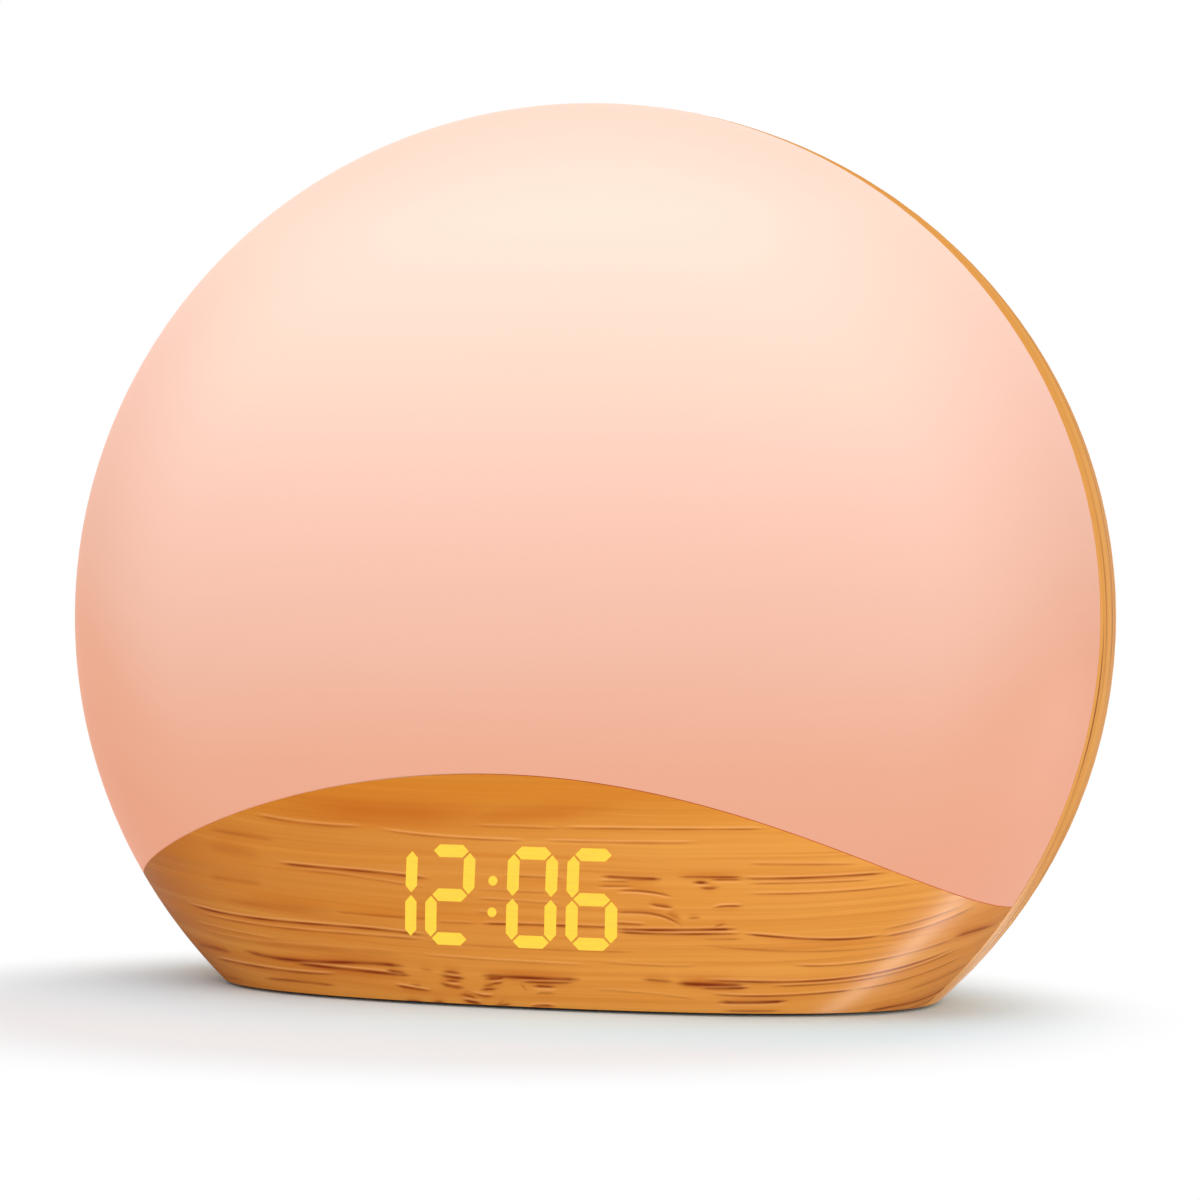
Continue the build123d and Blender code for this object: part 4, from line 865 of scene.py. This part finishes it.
# ---- Fasteners and cell -------------------------------------------------------------
# Zinc-plated steel screws with cross recesses, and the nickel-plated coin cell.
dress(["case_screws", "bottom_screws", "battery_door_screw", "board_screws",
       "speaker_screws"], metal_finish("zinc_screws", shade(190, 192, 194), 0.32))
dress(["coin_cell"], metal_finish("cell_nickel", shade(205, 205, 200), 0.3))


# ---- Inner frame and boards ---------------------------------------------------------
# White frame that carries the light; printed boards with solder mask; black chips and
# aluminium cans; the light's chips and clear pipes; flat cables and twin leads.
WIRE_PITCH = 0.5
WIRE_SEAM = 0.04
GROOVE_HALF = 0.3
WINDOW_DEPTH = 0.3


def board_finish(name, mask_colour):
    """Printed board: solder mask over faint tracks, with small tinned pads."""
    finish = Finish(name, Specular_IOR_Level=0.5)
    place = finish.place()
    tracks = finish.noise(place, 0.5, 1.0).step(0.49, 0.51)
    pads = finish.node("ShaderNodeTexVoronoi", None, {"Vector": place, "Scale": 0.28})
    tinned = 1 - pads.step(0.06, 0.075)
    tone = finish.mix(tracks * 0.4, mask_colour, dimmed(mask_colour, 1.5))
    finish.feed(Base_Color=finish.mix(tinned, tone, shade(200, 200, 196)), Metallic=tinned,
                Roughness=0.45 - tinned * 0.15)
    finish.bump(tracks + tinned, 0.3, 0.03)
    return finish


def ribbon_finish():
    """Flat cable: grey film with its wires showing as lines along it."""
    finish = Finish("ribbon_film", Roughness=0.35)
    place = finish.place()
    x, y, z = finish.split(place)
    wires = (x / WIRE_PITCH).fraction()
    tone = finish.mix(wires.step(0.3, 0.5), shade(206, 206, 208), shade(160, 150, 130))
    finish.feed(Base_Color=tone)
    finish.bump(wires, 0.3, 0.05)
    return finish


def lead_finish(node):
    """Twin lead: one red and one black wire in soft plastic, with a groove between."""
    finish = Finish(f"wire_jacket_{node}", Roughness=0.5)
    low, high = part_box(node)
    x, y, z = finish.split(finish.place())
    across = x - (low.x + high.x) / 2 / MM
    cloud = finish.noise(finish.place(), 0.8, 2.0)
    red = finish.mix(cloud, shade(176, 30, 26), shade(196, 42, 34))
    finish.feed(Base_Color=finish.mix(across.step(-WIRE_SEAM, WIRE_SEAM), red, shade(30, 29, 29)),
                Roughness=0.45 + cloud * 0.12)
    finish.bump(abs(across).step(0.0, GROOVE_HALF), 0.6, 0.2)
    return finish


def phosphor_finish(node):
    """White chip housings with a warm phosphor window on the front of each."""
    finish = Finish(f"phosphor_{node}", Specular_IOR_Level=0.5)
    place = finish.place()
    x, y, z = finish.split(place)
    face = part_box(node)[0].y / MM
    front = 1 - y.step(face + WINDOW_DEPTH, face + 2 * WINDOW_DEPTH)
    cloud = finish.noise(place, 1.2, 2.0)
    window = finish.mix(cloud, shade(250, 226, 150), shade(244, 210, 120))
    finish.feed(Base_Color=finish.mix(front, window, shade(236, 234, 228)),
                Roughness=0.3 + cloud * 0.15)
    finish.bump(cloud, 0.2, 0.02)
    return finish


dress(["mid_frame"], grained_finish("white_plastic", shade(236, 236, 232), 0.55, 4.0, 0.02))
dress(["led_board"], board_finish("white_board", shade(226, 226, 222)))
dress(["main_board", "button_board", "socket_board", "display_board"],
      board_finish("green_board", shade(30, 92, 52)))
for node in ("led_chips", "segment_leds"):
    dress([node], phosphor_finish(node))
for node in ("power_lead", "speaker_lead"):
    dress([node], lead_finish(node))
dress(["segment_light_pipes"],
      grained_finish("clear_resin", shade(232, 228, 208), 0.25, 3.0, 0.01))
dress(["board_chips"], grained_finish("chip_resin", shade(28, 28, 30), 0.7, 5.0, 0.02))
dress(["board_capacitors"], metal_finish("can_aluminium", shade(198, 200, 204), 0.35))
dress(["display_ribbon", "button_ribbon", "light_ribbon"], ribbon_finish())


# ---- Table and light ----------------------------------------------------------------
# A plain pale table that turns plain white a short way from the clock, under soft studio
# light from above and from the front right.
TABLE_HALF = 3.0
TABLE_LEFT = (0.79, 0.915, 0.98, 1.0)
TABLE_RIGHT = (0.74, 0.925, 1.0, 1.0)
TABLE_FAR = (0.865, 0.895, 0.915, 1.0)
TINT_SIDES = (-60.0, 80.0)
TINT_MIDDLE = (5.0, -10.0)
TINT_X = 115.0
TINT_Y = 70.0
TINT_START = 0.65
TINT_END = 1.2
FADE_X = 100.0
FADE_Y = 85.0
FADE_MIDDLE = (-9.0, -30.0)
FADE_START = 0.8
FADE_END = 1.3
SKY_LEVEL = 0.58
STRIP_SPREAD = 11.0


def oval_distance(x, y, middle, half_x, half_y):
    """Distance from an oval's middle, as a share of its half sizes."""
    across, deep = (x - middle[0]) / half_x, (y - middle[1]) / half_y
    return (across * across + deep * deep) ** 0.5


def plainly_seen(shading):
    """1 on what the camera sees, straight or in glossy and clear surfaces, else 0."""
    straight, glossy, clear = [
        shading.node("ShaderNodeLightPath", output=ray)
        for ray in ("Is Camera Ray", "Is Glossy Ray", "Is Transmission Ray")]
    return straight.at_least(glossy).at_least(clear)


def table_finish():
    """Matt near the clock, with a faint cool tint that evens out the dome's warm light;
    plain white light beyond an oval round the clock, wherever it is plainly seen."""
    finish = Finish("pale_table", Roughness=0.9, Specular_IOR_Level=0.1)
    x, y, z = finish.split(finish.place())
    near = finish.mix(x.step(*TINT_SIDES), TABLE_LEFT, TABLE_RIGHT)
    clear = oval_distance(x, y, TINT_MIDDLE, TINT_X, TINT_Y).step(TINT_START, TINT_END)
    finish.feed(Base_Color=finish.mix(clear, near, TABLE_FAR))
    away = oval_distance(x, y, FADE_MIDDLE, FADE_X, FADE_Y)
    share = plainly_seen(finish) * away.step(FADE_START, FADE_END)
    white = finish.node("ShaderNodeEmission")
    matt = Wire(finish, finish.shader.outputs[0])
    blend = finish.node("ShaderNodeMixShader", None, {0: share, 1: matt, 2: white})
    finish.join(blend, finish.tree.nodes["Material Output"].inputs[0])
    return finish


table_mesh = bpy.data.meshes.new("table")
corners = [(-TABLE_HALF, -TABLE_HALF, 0), (TABLE_HALF, -TABLE_HALF, 0),
           (TABLE_HALF, TABLE_HALF, 0), (-TABLE_HALF, TABLE_HALF, 0)]
table_mesh.from_pydata(corners, [], [(0, 1, 2, 3)])
table_mesh.materials.append(table_finish().material)
table = bpy.data.objects.new("table", table_mesh)
bpy.context.scene.collection.objects.link(table)

world = bpy.data.worlds.new("studio")
world.use_nodes = True
bpy.context.scene.world = world
sky = Shading(world.node_tree)
levels = {"Value": plainly_seen(sky), "To Min": SKY_LEVEL, "To Max": 1.0}
strength = sky.node("ShaderNodeMapRange", None, levels)
background = sky.tree.nodes["Background"]
sky.join((1.0, 1.0, 1.0, 1.0), background.inputs["Color"])
sky.join(strength, background.inputs["Strength"])


def soft_box(name, place, aim, width, height, power):
    """Soft lamp that points at a place on the clock."""
    light = bpy.data.lights.new(name, "AREA")
    light.shape = "RECTANGLE"
    light.size, light.size_y = width, height
    light.energy = power
    lamp = bpy.data.objects.new(name, light)
    lamp.location = place
    direction = Vector(aim) - Vector(place)
    lamp.rotation_euler = direction.to_track_quat("-Z", "Y").to_euler()
    bpy.context.scene.collection.objects.link(lamp)
    return lamp


soft_box("top_box", place=(-0.12, -0.3, 1.3), aim=(0, 0, 0),
         width=1.2, height=1.2, power=6.0)
soft_box("right_box", place=(0.62, -1.2, 0.22), aim=(0, 0, 0.05),
         width=0.6, height=0.6, power=9.0)
# A narrow beam from low at the right, seen only in gloss: the pale band across the print.
strip = soft_box("gloss_strip", place=(0.575, 0.15, 0.04), aim=(0.07, -0.02, 0.004),
                 width=0.2, height=0.04, power=0.42)
strip.data.spread = np.radians(STRIP_SPREAD)
strip.visible_diffuse = False
